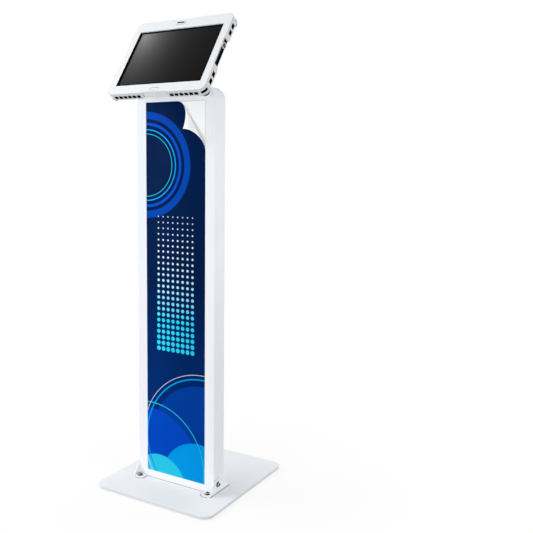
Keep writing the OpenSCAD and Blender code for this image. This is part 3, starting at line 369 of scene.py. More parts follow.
# Blackened steel for the turn pin, whose dark also stands in for the shade between the yoke's cheeks; the same
# finish is the painted shade in and round the screw heads.
BLACKENED_AND_SHADE = plated("blackened_steel_and_shade", grey(0.026), grey(0.042), grey(0.060), rough=(0.30, 0.45))
FINISH_OF_SLOT = {"white_paint": WHITE_COAT, "white_plastic": WHITE_MOULDED,
                  "black_plastic": BLACK_MOULDED, "black_rubber": BLACK_RUBBER_AND_SHADE,
                  "nickel": NICKEL, "steel": STEEL, "black_oxide": BLACKENED_AND_SHADE}
print("finishes:", ", ".join(paint.name for paint in FINISH_OF_SLOT.values()))

# %% [markdown]
# ## Softened edges on the sheet-metal parts
# No bent or laser-cut sheet has knife edges, and an edge without a radius catches no light. The parts
# could be modelled again, but the solids already have the right outline. So each piece starts as a
# merged copy of its solid with flat triangles joined, and every sharp edge gets a small rounded strip
# with the bevel operator. The strips are marked with the attribute that the finishes read, and weighted
# normals keep the large faces flat.

# %% Soften a copy of a solid
FACE_JOIN_DEG = 0.4
SHARP_DEG = 35.0
WELD = 0.004 * MM


def merged_copy(node):
    """Copy of a solid's mesh with its loose triangles joined into whole faces."""
    bm = bmesh.new()
    bm.from_mesh(NODES[node].data)
    bmesh.ops.remove_doubles(bm, verts=bm.verts, dist=WELD)
    bmesh.ops.dissolve_limit(bm, angle_limit=math.radians(FACE_JOIN_DEG), verts=bm.verts, edges=bm.edges)
    return bm


def sharp_edges(bm, chosen=None):
    limit = math.radians(SHARP_DEG)
    return [e for e in bm.edges if e.calc_face_angle(0.0) > limit and (chosen is None or chosen(e))]


def soften(bm, edges, width, segments):
    """Rounds edges and marks the strips."""
    rim = bm.loops.layers.float.get("rim") or bm.loops.layers.float.new("rim")
    made = bmesh.ops.bevel(bm, geom=edges, offset=width, offset_type="OFFSET", segments=segments, profile=0.5,
                           affect="EDGES", clamp_overlap=True, material=-1)
    for face in made["faces"]:
        for corner in face.loops:
            corner[rim] = 1.0


def eased(node, width, segments=3):
    """Merged copy of a solid with all its sharp edges softened."""
    bm = merged_copy(node)
    soften(bm, sharp_edges(bm), width, segments)
    return bm


def show(bm, node, ending, *paints):
    """Makes a finished piece that stands for a solid."""
    name = node + "_" + ending
    mesh = bpy.data.meshes.new(name)
    bm.to_mesh(mesh)
    bm.free()
    for paint in paints:
        mesh.materials.append(paint)
    kept = mesh.attributes.get("custom_normal")
    if kept:
        mesh.attributes.remove(kept)
    mesh.shade_smooth()
    mesh.set_sharp_from_angle(angle=math.radians(SHARP_DEG))
    made = add_object(name, mesh)
    made.modifiers.new("flat_faces", "WEIGHTED_NORMAL").keep_sharp = True
    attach(made, BODY_OF[node])
    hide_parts(node)
    return made


def dressed(node, width, choose, *paints):
    """Softened copy of a solid, with a finish chosen for each face."""
    bm = eased(node, width)
    for face in bm.faces:
        face.material_index = int(choose(face))
    return show(bm, node, "eased", *paints)


trial = merged_copy("post_frame")
print("the post has", len(trial.faces), "faces and", len(sharp_edges(trial)), "sharp edges")
trial.free()

# %% Soften the plain parts
# Width of the rounded edge in millimetres for each solid
EASED_MM = {
    "base_pads": 0.5, "panel_rails": 0.3,
    "foot_bracket_left": 0.6, "foot_bracket_right": 0.6, "cable_liner": 0.35, "pocket_tall": 0.35,
    "pocket_short": 0.35, "cord_grommets": 0.3, "power_port": 0.6, "bolt_body": 0.4,
    "bolt_keeper": 0.4, "bolt_rod": 0.4, "door_bushings": 0.2, "rear_door": 0.35, "door_pins": 0.3,
    "neck_bracket": 0.5, "tilt_bolt": 0.5, "tilt_washers": 0.2,
    "turn_disc": 0.6, "turn_pin": 0.4, "tablet_body": 1.2,
    "tablet_foam": 0.6, "home_key": 0.6}
for node, width in EASED_MM.items():
    made = show(eased(node, width * MM), node, "eased", FINISH_OF_SLOT[SLOT_OF[node]])
    print(f"{node}: {len(made.data.polygons)} faces, edges eased by {width} mm")

# %% [markdown]
# ## The head's own frame
# The enclosure leans back on its tilt bolt, so its faces are square to no axis of the world. Working out
# every tilted point by hand is a way to make mistakes. The joints give the place of the bolt and the
# direction in which the screen looks, and one matrix made from them turns head measures into world ones.

# %% Frame of the head
JOINTS = {joint["name"]: joint for joint in frame["joints"]}
screen_axis = Vector(JOINTS["screen_turn"]["axis"])
LEAN = math.atan2(screen_axis.z, -screen_axis.y)
HEAD = Matrix.Translation(JOINTS["head_tilt"]["pos_m"]) @ Matrix.Rotation(-LEAN, 4, "X")
TO_HEAD = HEAD.inverted()
print("the screen leans", round(math.degrees(LEAN), 1), "degrees from upright")


def box_of(points):
    """Lowest and highest corner."""
    return [Vector([pick(p[i] for p in points) for i in range(3)]) for pick in (min, max)]


def head_box(node):
    """Box of a solid in the head's frame."""
    return box_of([TO_HEAD @ v.co for v in NODES[node].data.vertices])


# %% [markdown]
# ## Dark lines in the joints
# Where two white parts meet, a thin dark line of shadow and dust gathers. Left to the light alone, a
# joint a few tenths of a millimetre wide is lost in a picture of this size. So a node group measures the
# distance from a rectangle with round corners, or a circle, and a copy of the coat is darkened in a band
# round it. The head leans, so a Mapping node turns its coordinates upright.

# %% Paint joints
SHAPE = ("Across", "Along", "Half Across", "Half Along", "Corner", "Width")
LINE_STARTS, LINE_DARKER = -0.2 * MM, 1.5
joint, inner, outer = new_group("joint_line", ("Vector",) + SHAPE, ("Line", "Inside"))
joint_axes = put(joint, "ShaderNodeSeparateXYZ", inner["Vector"])
beyond = []
for axis, place, half in (("X", "Across", "Half Across"), ("Y", "Along", "Half Along")):
    offset = maths(joint, "ABSOLUTE", maths(joint, "SUBTRACT", joint_axes.outputs[axis], inner[place]))
    straight = maths(joint, "SUBTRACT", inner[half], inner["Corner"])
    over = maths(joint, "MAXIMUM", maths(joint, "SUBTRACT", offset, straight), 0.0)
    beyond.append(maths(joint, "MULTIPLY", over, over))
reach = maths(joint, "SUBTRACT", maths(joint, "SQRT", maths(joint, "ADD", *beyond)), inner["Corner"])
fading = maths(joint, "SUBTRACT", 1.0, maths(joint, "DIVIDE", reach, inner["Width"]))
outside = maths(joint, "GREATER_THAN", reach, LINE_STARTS)
darker = maths(joint, "MULTIPLY", maths(joint, "MAXIMUM", fading, 0.0), LINE_DARKER)
clipped = maths(joint, "MINIMUM", darker, 1.0)
feed(joint, outer["Line"], maths(joint, "MULTIPLY", clipped, outside))
feed(joint, outer["Inside"], maths(joint, "LESS_THAN", reach, 0.0))
JOINT_TONE = (0.14, 0.145, 0.155, 1)
print("joint lines come from a group of", len(joint.nodes), "nodes")


def upright(tree, place, standing):
    """Coordinates across and up a frame."""
    turned = put(tree, "ShaderNodeMapping", place, standing.translation, standing.to_euler(),
                 vector_type="TEXTURE")
    split = put(tree, "ShaderNodeSeparateXYZ", turned.outputs["Vector"]).outputs
    return put(tree, "ShaderNodeCombineXYZ", split["X"], split["Z"]).outputs["Vector"]


def jointed(finish, name, shapes, depth, standing=None, tone=JOINT_TONE, output="Line"):
    """Copy of a finish, darkened round shapes of (across, along, half across, half along, corner, width)."""
    paint = finish.copy()
    paint.name = name
    tree = paint.node_tree
    shader = next(n for n in tree.nodes if n.type == "BSDF_PRINCIPLED")
    place = next(n for n in tree.nodes if n.type == "TEX_COORD").outputs["Object"]
    place = upright(tree, place, standing) if standing else place
    plain = shader.inputs["Base Color"].links[0].from_socket
    darkest = 0.0
    for shape in shapes:
        mask = use(tree, joint, Vector=place, **dict(zip(SHAPE, shape)))[output]
        darkest = maths(tree, "MAXIMUM", darkest, mask)
    share = maths(tree, "MULTIPLY", darkest, depth)
    feed(tree, shader.inputs["Base Color"], mixed(tree, share, plain, tone))
    return paint


# %% [markdown]
# ## The post, its board and the catch of the door
# The inside of the post's columns shows through the cord ports, so it is painted near black as shade.
# Black discs over the ports would do from one side only, so the inner walls get their own painted shade.
# The board in the window is matt white in front and coated behind. The stud on the door and its socket
# are drawn wider than their solids, as the stud is on the real door.

# %% Finish the post
POST_LOW, POST_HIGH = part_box("post_frame")
POST_MIDDLE = (POST_LOW + POST_HIGH) / 2
TUBE_IN, TUBE_OUT = 79 * MM, 101.5 * MM
TUBE_WALL = 2 * MM
ROUND_TOP = 32 * MM
WINDOW_LOW, WINDOW_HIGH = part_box("front_panel")
WINDOW_UP, WINDOW_HALF = (WINDOW_LOW.z + WINDOW_HIGH.z) / 2, (WINDOW_HIGH.z - WINDOW_LOW.z) / 2
WINDOW_GAP = 0.5 * MM
NECK_LOW, NECK_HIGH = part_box("neck_bracket")
LAP = (POST_HIGH.z - NECK_LOW.z) / 2
window_shape = (0, WINDOW_UP, WINDOW_HIGH.x + WINDOW_GAP, WINDOW_HALF + WINDOW_GAP, 0.5 * MM, 1.8 * MM)
neck_shape = (0, POST_HIGH.z - LAP, NECK_HIGH.x, LAP, 0.5 * MM, 1.8 * MM)
POST_REAR = jointed(WHITE_COAT, "white_powder_coat_rear", [window_shape, neck_shape], 0.62, Matrix())


def side_of_post(face):
    """One inside the columns, two behind, else zero."""
    middle = face.calc_center_median()
    deep = POST_HIGH.y - POST_MIDDLE.y - abs(middle.y - POST_MIDDLE.y)
    in_tube = TUBE_IN < abs(middle.x) < TUBE_OUT and deep > 0.5 * MM and middle.z < POST_HIGH.z - ROUND_TOP
    lengthwise = abs(face.normal.y) > 0.9 and abs(deep - TUBE_WALL) < 0.4 * MM
    return 1 if in_tube or lengthwise else 2 if face.normal.y > 0.5 else 0


post = dressed("post_frame", 0.7 * MM, side_of_post, WHITE_COAT, SHADED_INSIDE, POST_REAR)
print([sum(f.material_index == i for f in post.data.polygons) for i in (1, 2)], "faces inside and behind")

# %% Finish the board, the stud and its socket
BOARD_LIP = 1.6 * MM
board_shape = (0, WINDOW_UP, WINDOW_HIGH.x - BOARD_LIP, WINDOW_HALF - BOARD_LIP, 0.2 * MM, 2.4 * MM)
BOARD_FRONT = jointed(BOARD_WHITE, "white_board_front", [board_shape], 0.34, Matrix())
dressed("front_panel", 0.2 * MM, lambda face: face.normal.y > 0.5, BOARD_FRONT, WHITE_COAT)

STUD_LOW, STUD_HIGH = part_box("door_stud")
STUD_AXIS = Matrix.Translation(-(STUD_LOW + STUD_HIGH) / 2)
for node, wider, finish, slot in (("door_stud", 1.35, NICKEL, "nickel"),
                                  ("stud_socket", 1.25, WHITE_MOULDED, "white_plastic")):
    bm = merged_copy(node)
    bmesh.ops.transform(bm, matrix=Matrix.Diagonal((wider, 1, wider, 1)), space=STUD_AXIS, verts=bm.verts)
    soften(bm, sharp_edges(bm), 0.3 * MM, 3)
    made = show(bm, node, "wide", finish)
    print(node, round(1000 * made.dimensions.x, 1), "mm wide")

# %% [markdown]
# ## The two halves of the enclosure
# The bezel is a moulding with a generous radius round its outer front rim and much smaller ones at the
# screen opening, the slots and the corner blocks. One bevel width would either leave the rim hard or
# fill the slots. So the rim is picked first, by where its edges lie in the head's frame, and the rest is
# softened afterwards. Black foam lines the shell. The walls of the slots and of the screen opening are
# painted black as shade, so that they look like black windows: a second material on the faces there.
# The bezel's outer walls get a third, darker copy of the coat, also a painted shade.

# %% Tell the slots from the rest
LIP_T, SKIN, WALL = 2.7 * MM, 0.4 * MM, 2.3 * MM
FRONT_Y = head_box("tablet_glass")[0].y - LIP_T
REAR_IN = head_box("tablet_foam")[1].y
OUTER = head_box("enclosure_front")[1]
CORNER_R = 15 * MM
CAMERA_X, CAMERA_UP = -7 * MM, 92 * MM
CAMERA_HALF = (10 * MM, 2 * MM)
SIDE_SLOTS_FROM, END_SLOTS_FROM = 46 * MM, 36 * MM
INSIDE_RIM = 6 * MM
ACROSS = 0.4
LONG_WALL = 100 * MM * MM
print("bezel of", round(2000 * OUTER.x, 1), "x", round(2000 * OUTER.z, 1), "mm")


def outward(point):
    """Depth of a point inside the enclosure's outline, and the way out of it."""
    over = Vector((abs(point.x) - OUTER.x + CORNER_R, 0, abs(point.z) - OUTER.z + CORNER_R))
    if over.x < 0 or over.z < 0:
        over[0 if over.x < over.z else 2] = 0
    way = Vector((math.copysign(over.x, point.x), 0, math.copysign(over.z, point.z)))
    return CORNER_R - over.length, way.normalized()


def face_in_head(face):
    """Middle and direction of a face in the head's frame."""
    return TO_HEAD @ face.calc_center_median(), TO_HEAD.to_3x3() @ face.normal


def in_slot(face):
    """Wall of one of the slots, or of the camera's slot."""
    middle, way = face_in_head(face)
    depth, out = outward(middle)
    across = SKIN < depth < WALL and abs(way.dot(out)) < ACROSS
    along = FRONT_Y + 4 * MM < middle.y < REAR_IN + 0.5 * MM
    clear = abs(middle.z) > SIDE_SLOTS_FROM if abs(out.x) > abs(out.z) else abs(middle.x) > END_SLOTS_FROM
    in_camera = abs(middle.x - CAMERA_X) < CAMERA_HALF[0] and abs(middle.z - CAMERA_UP) < CAMERA_HALF[1]
    return (across and along and clear) or (in_camera and abs(way.y) < ACROSS)


def in_opening(face):
    """Wall of the screen opening."""
    middle, way = face_in_head(face)
    in_front = 0 < middle.y - FRONT_Y < 3 * MM and outward(middle)[0] > INSIDE_RIM
    return in_front and abs(way.y) < ACROSS and face.calc_area() > LONG_WALL


# Faces of the bezel's outer walls, which take the painted shade.
def on_outer_wall(face):
    middle, way = face_in_head(face)
    depth, out = outward(middle)
    return depth < SKIN and way.dot(out) > 0.7


def on_outer_rim(edge):
    ends = [TO_HEAD @ v.co for v in edge.verts]
    return all(abs(p.y - FRONT_Y) < 0.05 * MM and outward(p)[0] < 2.4 * MM for p in ends)


# %% Soften the bezel and paint shade in its slots
KEY_LOW, KEY_HIGH = head_box("home_key")
KEY_GAP = 0.3 * MM
key_shape = (0, (KEY_LOW.z + KEY_HIGH.z) / 2, KEY_HIGH.x + KEY_GAP, (KEY_HIGH.z - KEY_LOW.z) / 2 + KEY_GAP,
             3.4 * MM, 1.2 * MM)
camera_shape = (CAMERA_X, CAMERA_UP, 12.6 * MM, 4.9 * MM, 4.8 * MM, 1.0 * MM)
BEZEL_COAT = jointed(WHITE_BEZEL, "white_bezel_lines", [key_shape, camera_shape], 0.42, HEAD)
SLOT_Y, SLOT_REACH = FRONT_Y + 10.5 * MM, 8 * MM
SLOT_TIGHTER = Matrix.Diagonal((1, 0.90, 0.84, 1))
SLOT_SHIFTS = ((-75, 1), (-55, -1), (55, 1), (75, -1))
bm = merged_copy("enclosure_front")
rims = {v for face in bm.faces if in_slot(face) for v in face.verts}
for side in (-1, 1):
    for up, shift in SLOT_SHIFTS:
        slot = Matrix.Translation((0, -SLOT_Y, -up * MM)) @ TO_HEAD
        tighter = Matrix.Translation((0, 0, shift * MM)) @ SLOT_TIGHTER
        chosen = [v for v in rims if (TO_HEAD @ v.co).x * side > 0.1 and abs((slot @ v.co).z) < SLOT_REACH]
        bmesh.ops.transform(bm, matrix=tighter, space=slot, verts=chosen)
rim_edges = sharp_edges(bm, on_outer_rim)
soften(bm, rim_edges, 1.3 * MM, 4)
soften(bm, sharp_edges(bm), 0.3 * MM, 2)
# Walls of the slots and of the screen opening are painted black as shade.
shaded = {face for face in bm.faces if in_slot(face) or in_opening(face)}
for face in bm.faces:
    face.material_index = 1 if face in shaded else 2 if on_outer_wall(face) else 0
show(bm, "enclosure_front", "eased", BEZEL_COAT, BLACK_RUBBER_AND_SHADE, BEZEL_SIDE_SHADE)
print(len(rim_edges), "edges round the outer rim,", len(rims), "slot corners,", len(shaded), "lined faces")

# %% Soften the rear half and paint shade inside it
RING_AXIS = Vector((0, REAR_IN - 4 * MM, 22 * MM))
BORE_R, BORE_WIDER = 3.9 * MM, 1.5
EYE_FLANGE = 6.9 * MM
KNOB_R = 10.5 * MM
STRAP_HALF, SIDE_STRAP, END_STRAP = 10 * MM, 62 * MM, 76 * MM
PLATE = head_box("mount_plate")[1]
KNOB = (OUTER.x - 11 * MM, OUTER.z - 12 * MM)
shell_lines = [(0, 0, PLATE.x, PLATE.z, 12 * MM, 1.3 * MM)]
# Along the straps the lines follow the steps in the shell's back and are painted shade; round the plate and the
# knobs they are joints.
for side in (-1, 1):
    shell_lines.append((side * (OUTER.x - STRAP_HALF), 0, STRAP_HALF, SIDE_STRAP, 0.2 * MM, 1.5 * MM))
    shell_lines.append((0, side * (OUTER.z - STRAP_HALF), END_STRAP, STRAP_HALF, 0.2 * MM, 1.5 * MM))
    for up in (-1, 1):
        shell_lines.append((side * KNOB[0], up * KNOB[1], KNOB_R, KNOB_R, KNOB_R, 1.2 * MM))
eye_shape = (CAMERA_X, OUTER.z - STRAP_HALF, EYE_FLANGE, EYE_FLANGE, EYE_FLANGE, 1.0 * MM)
SHELL_COAT = jointed(WHITE_SHELL, "white_shell_lines", shell_lines, 0.86, HEAD)
SHELL_COAT = jointed(SHELL_COAT, "white_shell_eye", [eye_shape], 1.0, HEAD, grey(0.012), "Inside")
bm = merged_copy("enclosure_rear")
ring = Matrix.Translation(-RING_AXIS) @ TO_HEAD
bore = [v for v in bm.verts if math.hypot(*(ring @ v.co).yz) < BORE_R]
bmesh.ops.transform(bm, matrix=Matrix.Diagonal((1, BORE_WIDER, BORE_WIDER, 1)), space=ring, verts=bore)
soften(bm, sharp_edges(bm), 0.35 * MM, 3)
# The inner face and the walls of the openings are painted black as shade.
for face in bm.faces:
    middle, way = face_in_head(face)
    inside = way.y < -0.9 and abs(middle.y - REAR_IN) < 0.5 * MM
    bored = abs(way.y) < ACROSS and 0 < middle.y - REAR_IN < 3 * MM and outward(middle)[0] > INSIDE_RIM
    inner_edge = Vector((OUTER.x, 0, OUTER.z)) - Vector((2, 0, 2)) * STRAP_HALF
    stepped = abs(abs(middle.x) - inner_edge.x) < MM or abs(abs(middle.z) - inner_edge.z) < MM
    face.material_index = int(inside or (bored and not stepped))
show(bm, "enclosure_rear", "eased", SHELL_COAT, BLACK_RUBBER_AND_SHADE)
print(len(bore), "corners round the ring's bore,", len(shell_lines), "joint lines")

# %% Finish the mounting plate and the yoke
DISC_R = head_box("turn_disc")[1].x
disc_shape = (0, 0, DISC_R, DISC_R, DISC_R, 1.4 * MM)
PLATE_COAT = jointed(WHITE_SHELL, "white_plate_coat", [disc_shape], 0.6, HEAD)
YOKE_REAR = head_box("turn_disc")[1].y + 3 * MM


def in_plate_hole(face):
    middle, way = face_in_head(face)
    return max(abs(middle.x), abs(middle.z)) < PLATE.x - 2 * MM and abs(way.y) < ACROSS


def behind_yoke(face):
    middle, way = face_in_head(face)
    return way.y > 0.9 and abs(middle.y - YOKE_REAR) < 0.3 * MM


# The walls of the plate's opening and the back of the yoke between its cheeks are painted black as shade.
dressed("mount_plate", 0.5 * MM, in_plate_hole, PLATE_COAT, BLACK_RUBBER_AND_SHADE)
dressed("tilt_yoke", 0.7 * MM, behind_yoke, WHITE_COAT, BLACK_RUBBER_AND_SHADE)
print("disc of", round(2000 * DISC_R, 1), "mm on the plate")

# %% [markdown]
# ## The base plate
# The base is one laser-cut plate with a coat of the same white. A greyer copy on its cut edge is painted
# shade: the edge could be left to the light, but here the pale floor fills it. The post and its brackets
# stand on the plate. Their footprints are read from the solids, so that a dark joint runs round each.

# %% Finish the base
EAR_T, EAR_STARTS, FOOT_LINE = 2.5 * MM, 4 * MM, 3.0 * MM


def footprint(low, high, corner):
    """Joint round the box that stands on the base."""
    middle, half = (low + high) / 2, (high - low) / 2
    return middle.x, middle.y, half.x, half.y, corner, FOOT_LINE


footprints = [footprint(POST_LOW, POST_HIGH, 1.0 * MM)]
for side in ("left", "right"):
    low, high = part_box("foot_bracket_" + side)
    footprints.append(footprint(low, Vector((high.x, POST_LOW.y, 0)), 10.0 * MM))
    ear_x = low.x if side == "left" else high.x - EAR_T
    ear_low = Vector((ear_x, low.y + EAR_STARTS, 0))
    footprints.append(footprint(ear_low, Vector((ear_x + EAR_T, high.y, 0)), 0.5 * MM))
BASE_COAT = jointed(WHITE_COAT, "white_powder_coat_base", footprints, 0.85)
# Top faces take the jointed coat, side faces the painted shade, and the underside the plain coat.
dressed("base_plate", 1.2 * MM, lambda face: 0 if face.normal.z > 0.6 else 2 if face.normal.z < -0.6 else 1,
        BASE_COAT, SHADED_CUT_EDGE, WHITE_COAT)
print("joint lines round", len(footprints), "footprints")

# %% [markdown]
# ## The printed sheet
# A thin printed film lies on the panel and its upper right corner has come off, rolled forwards and
# down, so that the white back shows. A painted curl on a flat card would be wrong from every other side.
# Here one face is cut into narrow rows parallel to the fold, every corner remembers its flat place as a
# UV in metres, and the rows past the fold are carried along two bent edges that meet in the tip. A
# Solidify modifier gives the film its thickness and its back the white material. Light that the print
# throws on the white base is kept neutral, as with a white card in a studio.

# %% Paint the print
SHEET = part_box("graphic_sheet")
PANEL_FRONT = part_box("front_panel")[0].y
SHEET_W = SHEET[1].x - SHEET[0].x
SHEET_H = SHEET[1].z - SHEET[0].z
NAVY = (0.0006, 0.0123, 0.063, 1)
DEEP = (0.0009, 0.030, 0.19, 1)
MIDDLE = (0.0009, 0.056, 0.397, 1)
ROYAL = (0.0006, 0.0762, 0.624, 1)
BRIGHT = (0.0006, 0.386, 0.973, 1)
CYAN = (0.027, 0.687, 0.956, 1)
PAPER = (0.86, 0.86, 0.87, 1)
FILM_BACK = ((0.985, 0.985, 0.985, 1), (0.960, 0.960, 0.963, 1))
THROWN_LIGHT = (0.55, 0.55, 0.56, 1)
INK_EDGE = 0.5 * MM

disc, inner, outer = new_group("printed_disc", ("Vector", "Across", "Up", "Radius"), ("Mask",))
middle = put(disc, "ShaderNodeCombineXYZ", inner["Across"], inner["Up"]).outputs["Vector"]
reach = put(disc, "ShaderNodeVectorMath", inner["Vector"], middle, operation="DISTANCE")
inside = maths(disc, "SUBTRACT", inner["Radius"], reach.outputs["Value"])
feed(disc, outer["Mask"], remap(disc, inside, 0.0, 1.0, -INK_EDGE, INK_EDGE))


def ring_mask(tree, uv, across, up, radius, width):
    """Thin ring: a disc less a smaller one."""
    whole = use(tree, disc, Vector=uv, Across=across, Up=up, Radius=radius)["Mask"]
    hole = use(tree, disc, Vector=uv, Across=across, Up=up, Radius=radius - width)["Mask"]
    return maths(tree, "SUBTRACT", whole, hole)


print_face, tree, sockets, coords = new_finish("printed_film")
flat = coords["UV"]
axes = put(tree, "ShaderNodeSeparateXYZ", flat)
across, up = axes.outputs["X"], axes.outputs["Y"]
ink = mixed(tree, remap(tree, up, 0.0, 1.0, 0.16, 0.44), DEEP, NAVY)
BIG_DISCS = ((0.150, 0.085, 0.135, MIDDLE), (0.012, 0.020, 0.128, ROYAL), (0.140, -0.010, 0.098, BRIGHT),
             (0.034, -0.030, 0.072, CYAN))
for x, y, radius, colour in BIG_DISCS:
    ink = mixed(tree, use(tree, disc, Vector=flat, Across=x, Up=y, Radius=radius)["Mask"], ink, colour)
RINGS = ((0.150, 0.085, 0.152, 0.0030, BRIGHT), (0.150, 0.085, 0.161, 0.0012, PAPER),
         (0.012, 0.020, 0.143, 0.0020, CYAN),
         (0.000, 0.705, 0.118, 0.0160, MIDDLE), (0.000, 0.705, 0.094, 0.0060, ROYAL),
         (0.000, 0.705, 0.080, 0.0025, BRIGHT), (0.000, 0.705, 0.070, 0.0012, CYAN))
for x, y, radius, width, colour in RINGS:
    ink = mixed(tree, ring_mask(tree, flat, x, y, radius, width), ink, colour)
print("print", round(SHEET_W, 3), "x", round(SHEET_H, 3), "m")

# %% Add the dots and the film
DOT_PITCH = 13.0 * MM
DOT_FIELD = (0.026, 0.130, 0.286, 0.598)
LARGE_DOT, SMALL_DOT, DOT_EDGE = 0.40, 0.10, 0.03
squares = []
for axis in (across, up):
    in_cell = maths(tree, "SUBTRACT", maths(tree, "FRACT", maths(tree, "DIVIDE", axis, DOT_PITCH)), 0.5)
    squares.append(maths(tree, "MULTIPLY", in_cell, in_cell))
off_centre = maths(tree, "SQRT", maths(tree, "ADD", *squares))
dot_size = remap(tree, up, LARGE_DOT, SMALL_DOT, DOT_FIELD[2], DOT_FIELD[3])
dots = remap(tree, maths(tree, "SUBTRACT", dot_size, off_centre), 0.0, 1.0, -DOT_EDGE, DOT_EDGE)
for axis, first, last in ((across, DOT_FIELD[0], DOT_FIELD[1]), (up, DOT_FIELD[2], DOT_FIELD[3])):
    dots = maths(tree, "MULTIPLY", dots, maths(tree, "GREATER_THAN", axis, first))
    dots = maths(tree, "MULTIPLY", dots, maths(tree, "LESS_THAN", axis, last))
ink = mixed(tree, dots, ink, mixed(tree, remap(tree, up, 0.0, 1.0, 0.36, 0.52), CYAN, PAPER))
film = use(tree, skin, Vector=coords["UV"], Scale=1200.0)
smears = use(tree, handling, Vector=coords["UV"], Scale=14.0)
toned = mixed(tree, maths(tree, "MULTIPLY", film["Tone"], 0.08), ink, NAVY)
thrown = put(tree, "ShaderNodeLightPath").outputs["Is Diffuse Ray"]
feed(tree, sockets["Base Color"], mixed(tree, thrown, toned, THROWN_LIGHT))
feed(tree, sockets["Roughness"], remap(tree, smears["Smear"], 0.60, 0.72))
sockets["Specular IOR Level"].default_value = 0.008
relief(tree, sockets, film["Height"], 0.05, 0.1 * MM)

film_back, tree, sockets, coords = new_finish("film_back")
fibre = use(tree, skin, Vector=coords["UV"], Scale=900.0)
feed(tree, sockets["Base Color"], mixed(tree, fibre["Tone"], *FILM_BACK))
feed(tree, sockets["Roughness"], remap(tree, fibre["Height"], 0.50, 0.66))
relief(tree, sockets, fibre["Height"], 0.08, 0.1 * MM)
print("printed face of", len(print_face.node_tree.nodes), "nodes")

# %% Shape of the peel
PEEL_ACROSS, PEEL_DOWN, PEEL_LIFT, PEEL_EASE = 75 * MM, 109 * MM, 10 * MM, 31 * MM
FILM_T = 0.5 * MM
corner = Vector((SHEET[1].x, PANEL_FRONT, SHEET[1].z))
tip = Vector((-0.68 * PEEL_ACROSS, -PEEL_LIFT, -0.55 * PEEL_DOWN))
TOP_EDGE = [Vector((-PEEL_ACROSS, 0, 0)), Vector((PEEL_EASE - PEEL_ACROSS, 0, 0)),
            Vector((-0.56 * PEEL_ACROSS, -0.9 * PEEL_LIFT, -0.32 * PEEL_DOWN)), tip]
SIDE_EDGE = [Vector((0, 0, -PEEL_DOWN)), Vector((0, 0, PEEL_EASE - PEEL_DOWN)),
             Vector((-0.2 * PEEL_ACROSS, -4 * PEEL_LIFT, -0.54 * PEEL_DOWN)), tip]


def bend(p, t):
    return (1 - t) ** 3 * p[0] + 3 * t * (1 - t) ** 2 * p[1] + 3 * t * t * (1 - t) * p[2] + t ** 3 * p[3]


def bend_way(p, t):
    return (1 - t) ** 2 * (p[1] - p[0]) + 2 * t * (1 - t) * (p[2] - p[1]) + t * t * (p[3] - p[2])


def rolled(across, down):
    """Place of a point that lay this far left of and below the flat corner."""
    left = across / PEEL_ACROSS + down / PEEL_DOWN
    t = min(1 - left, 0.9999)
    share = (down / PEEL_DOWN) / left if left > 1e-6 else 0.5
    spine = bend(TOP_EDGE, min(t, 0.98)) - bend(SIDE_EDGE, min(t, 0.98))
    facing = (bend_way(TOP_EDGE, t) + bend_way(SIDE_EDGE, t)).cross(spine).normalized()
    return corner + bend(TOP_EDGE, t).lerp(bend(SIDE_EDGE, t), share) + facing * FILM_T


print("the tip ends at", [round(v, 4) for v in rolled(0, 0)])

# %% Cut and roll the sheet
ROWS, COLUMNS = 44, 12
bm = bmesh.new()
bmesh.ops.create_grid(bm, x_segments=1, y_segments=1, size=0.5)
bmesh.ops.scale(bm, vec=(SHEET_W, SHEET_H, 1), verts=bm.verts)
bmesh.ops.rotate(bm, matrix=Matrix.Rotation(math.pi / 2, 3, "X"), verts=bm.verts)
middle = Vector((0, PANEL_FRONT - FILM_T, (SHEET[0].z + SHEET[1].z) / 2))
bmesh.ops.translate(bm, vec=middle, verts=bm.verts)
fold_normal = Vector((1 / PEEL_ACROSS, 0, 1 / PEEL_DOWN))


def flap_geometry():
    """Faces past the fold, with their edges and vertices."""
    faces = [f for f in bm.faces if fold_normal.dot(f.calc_center_median() - corner) > -1]
    edges = {e for f in faces for e in f.edges}
    verts = {v for f in faces for v in f.verts}
    return list(verts) + list(edges) + faces


flat_corner = Vector((corner.x, 0, corner.z))
for row in range(ROWS):
    inward = Vector((-PEEL_ACROSS, 0, 0)) * (1 - row / ROWS)
    bmesh.ops.bisect_plane(bm, geom=bm.verts[:] + bm.edges[:] + bm.faces[:], dist=1e-7,
                           plane_co=flat_corner + inward, plane_no=fold_normal)
for column in range(1, COLUMNS):
    share = column / COLUMNS
    along = Vector((-PEEL_ACROSS * (1 - share), 0, -PEEL_DOWN * share))
    bmesh.ops.bisect_plane(bm, geom=flap_geometry(), dist=1e-7, plane_co=flat_corner,
                           plane_no=along.cross(Vector((0, 1, 0))))
flat_uv = bm.loops.layers.uv.new("flat_sheet")
for face in bm.faces:
    for loop in face.loops:
        loop[flat_uv].uv = (loop.vert.co.x - SHEET[0].x, loop.vert.co.z - SHEET[0].z)
for vert in bm.verts:
    across, down = corner.x - vert.co.x, corner.z - vert.co.z
    if across / PEEL_ACROSS + down / PEEL_DOWN < 1:
        vert.co = rolled(across, down)
sheet = show(bm, "graphic_sheet", "printed", print_face, film_back)
sheet.modifiers.clear()
film_body = sheet.modifiers.new("film", "SOLIDIFY")
film_body.thickness = FILM_T
film_body.offset = -1.0
film_body.material_offset = 1
film_body.material_offset_rim = 1
print("sheet of", len(sheet.data.polygons), "faces")

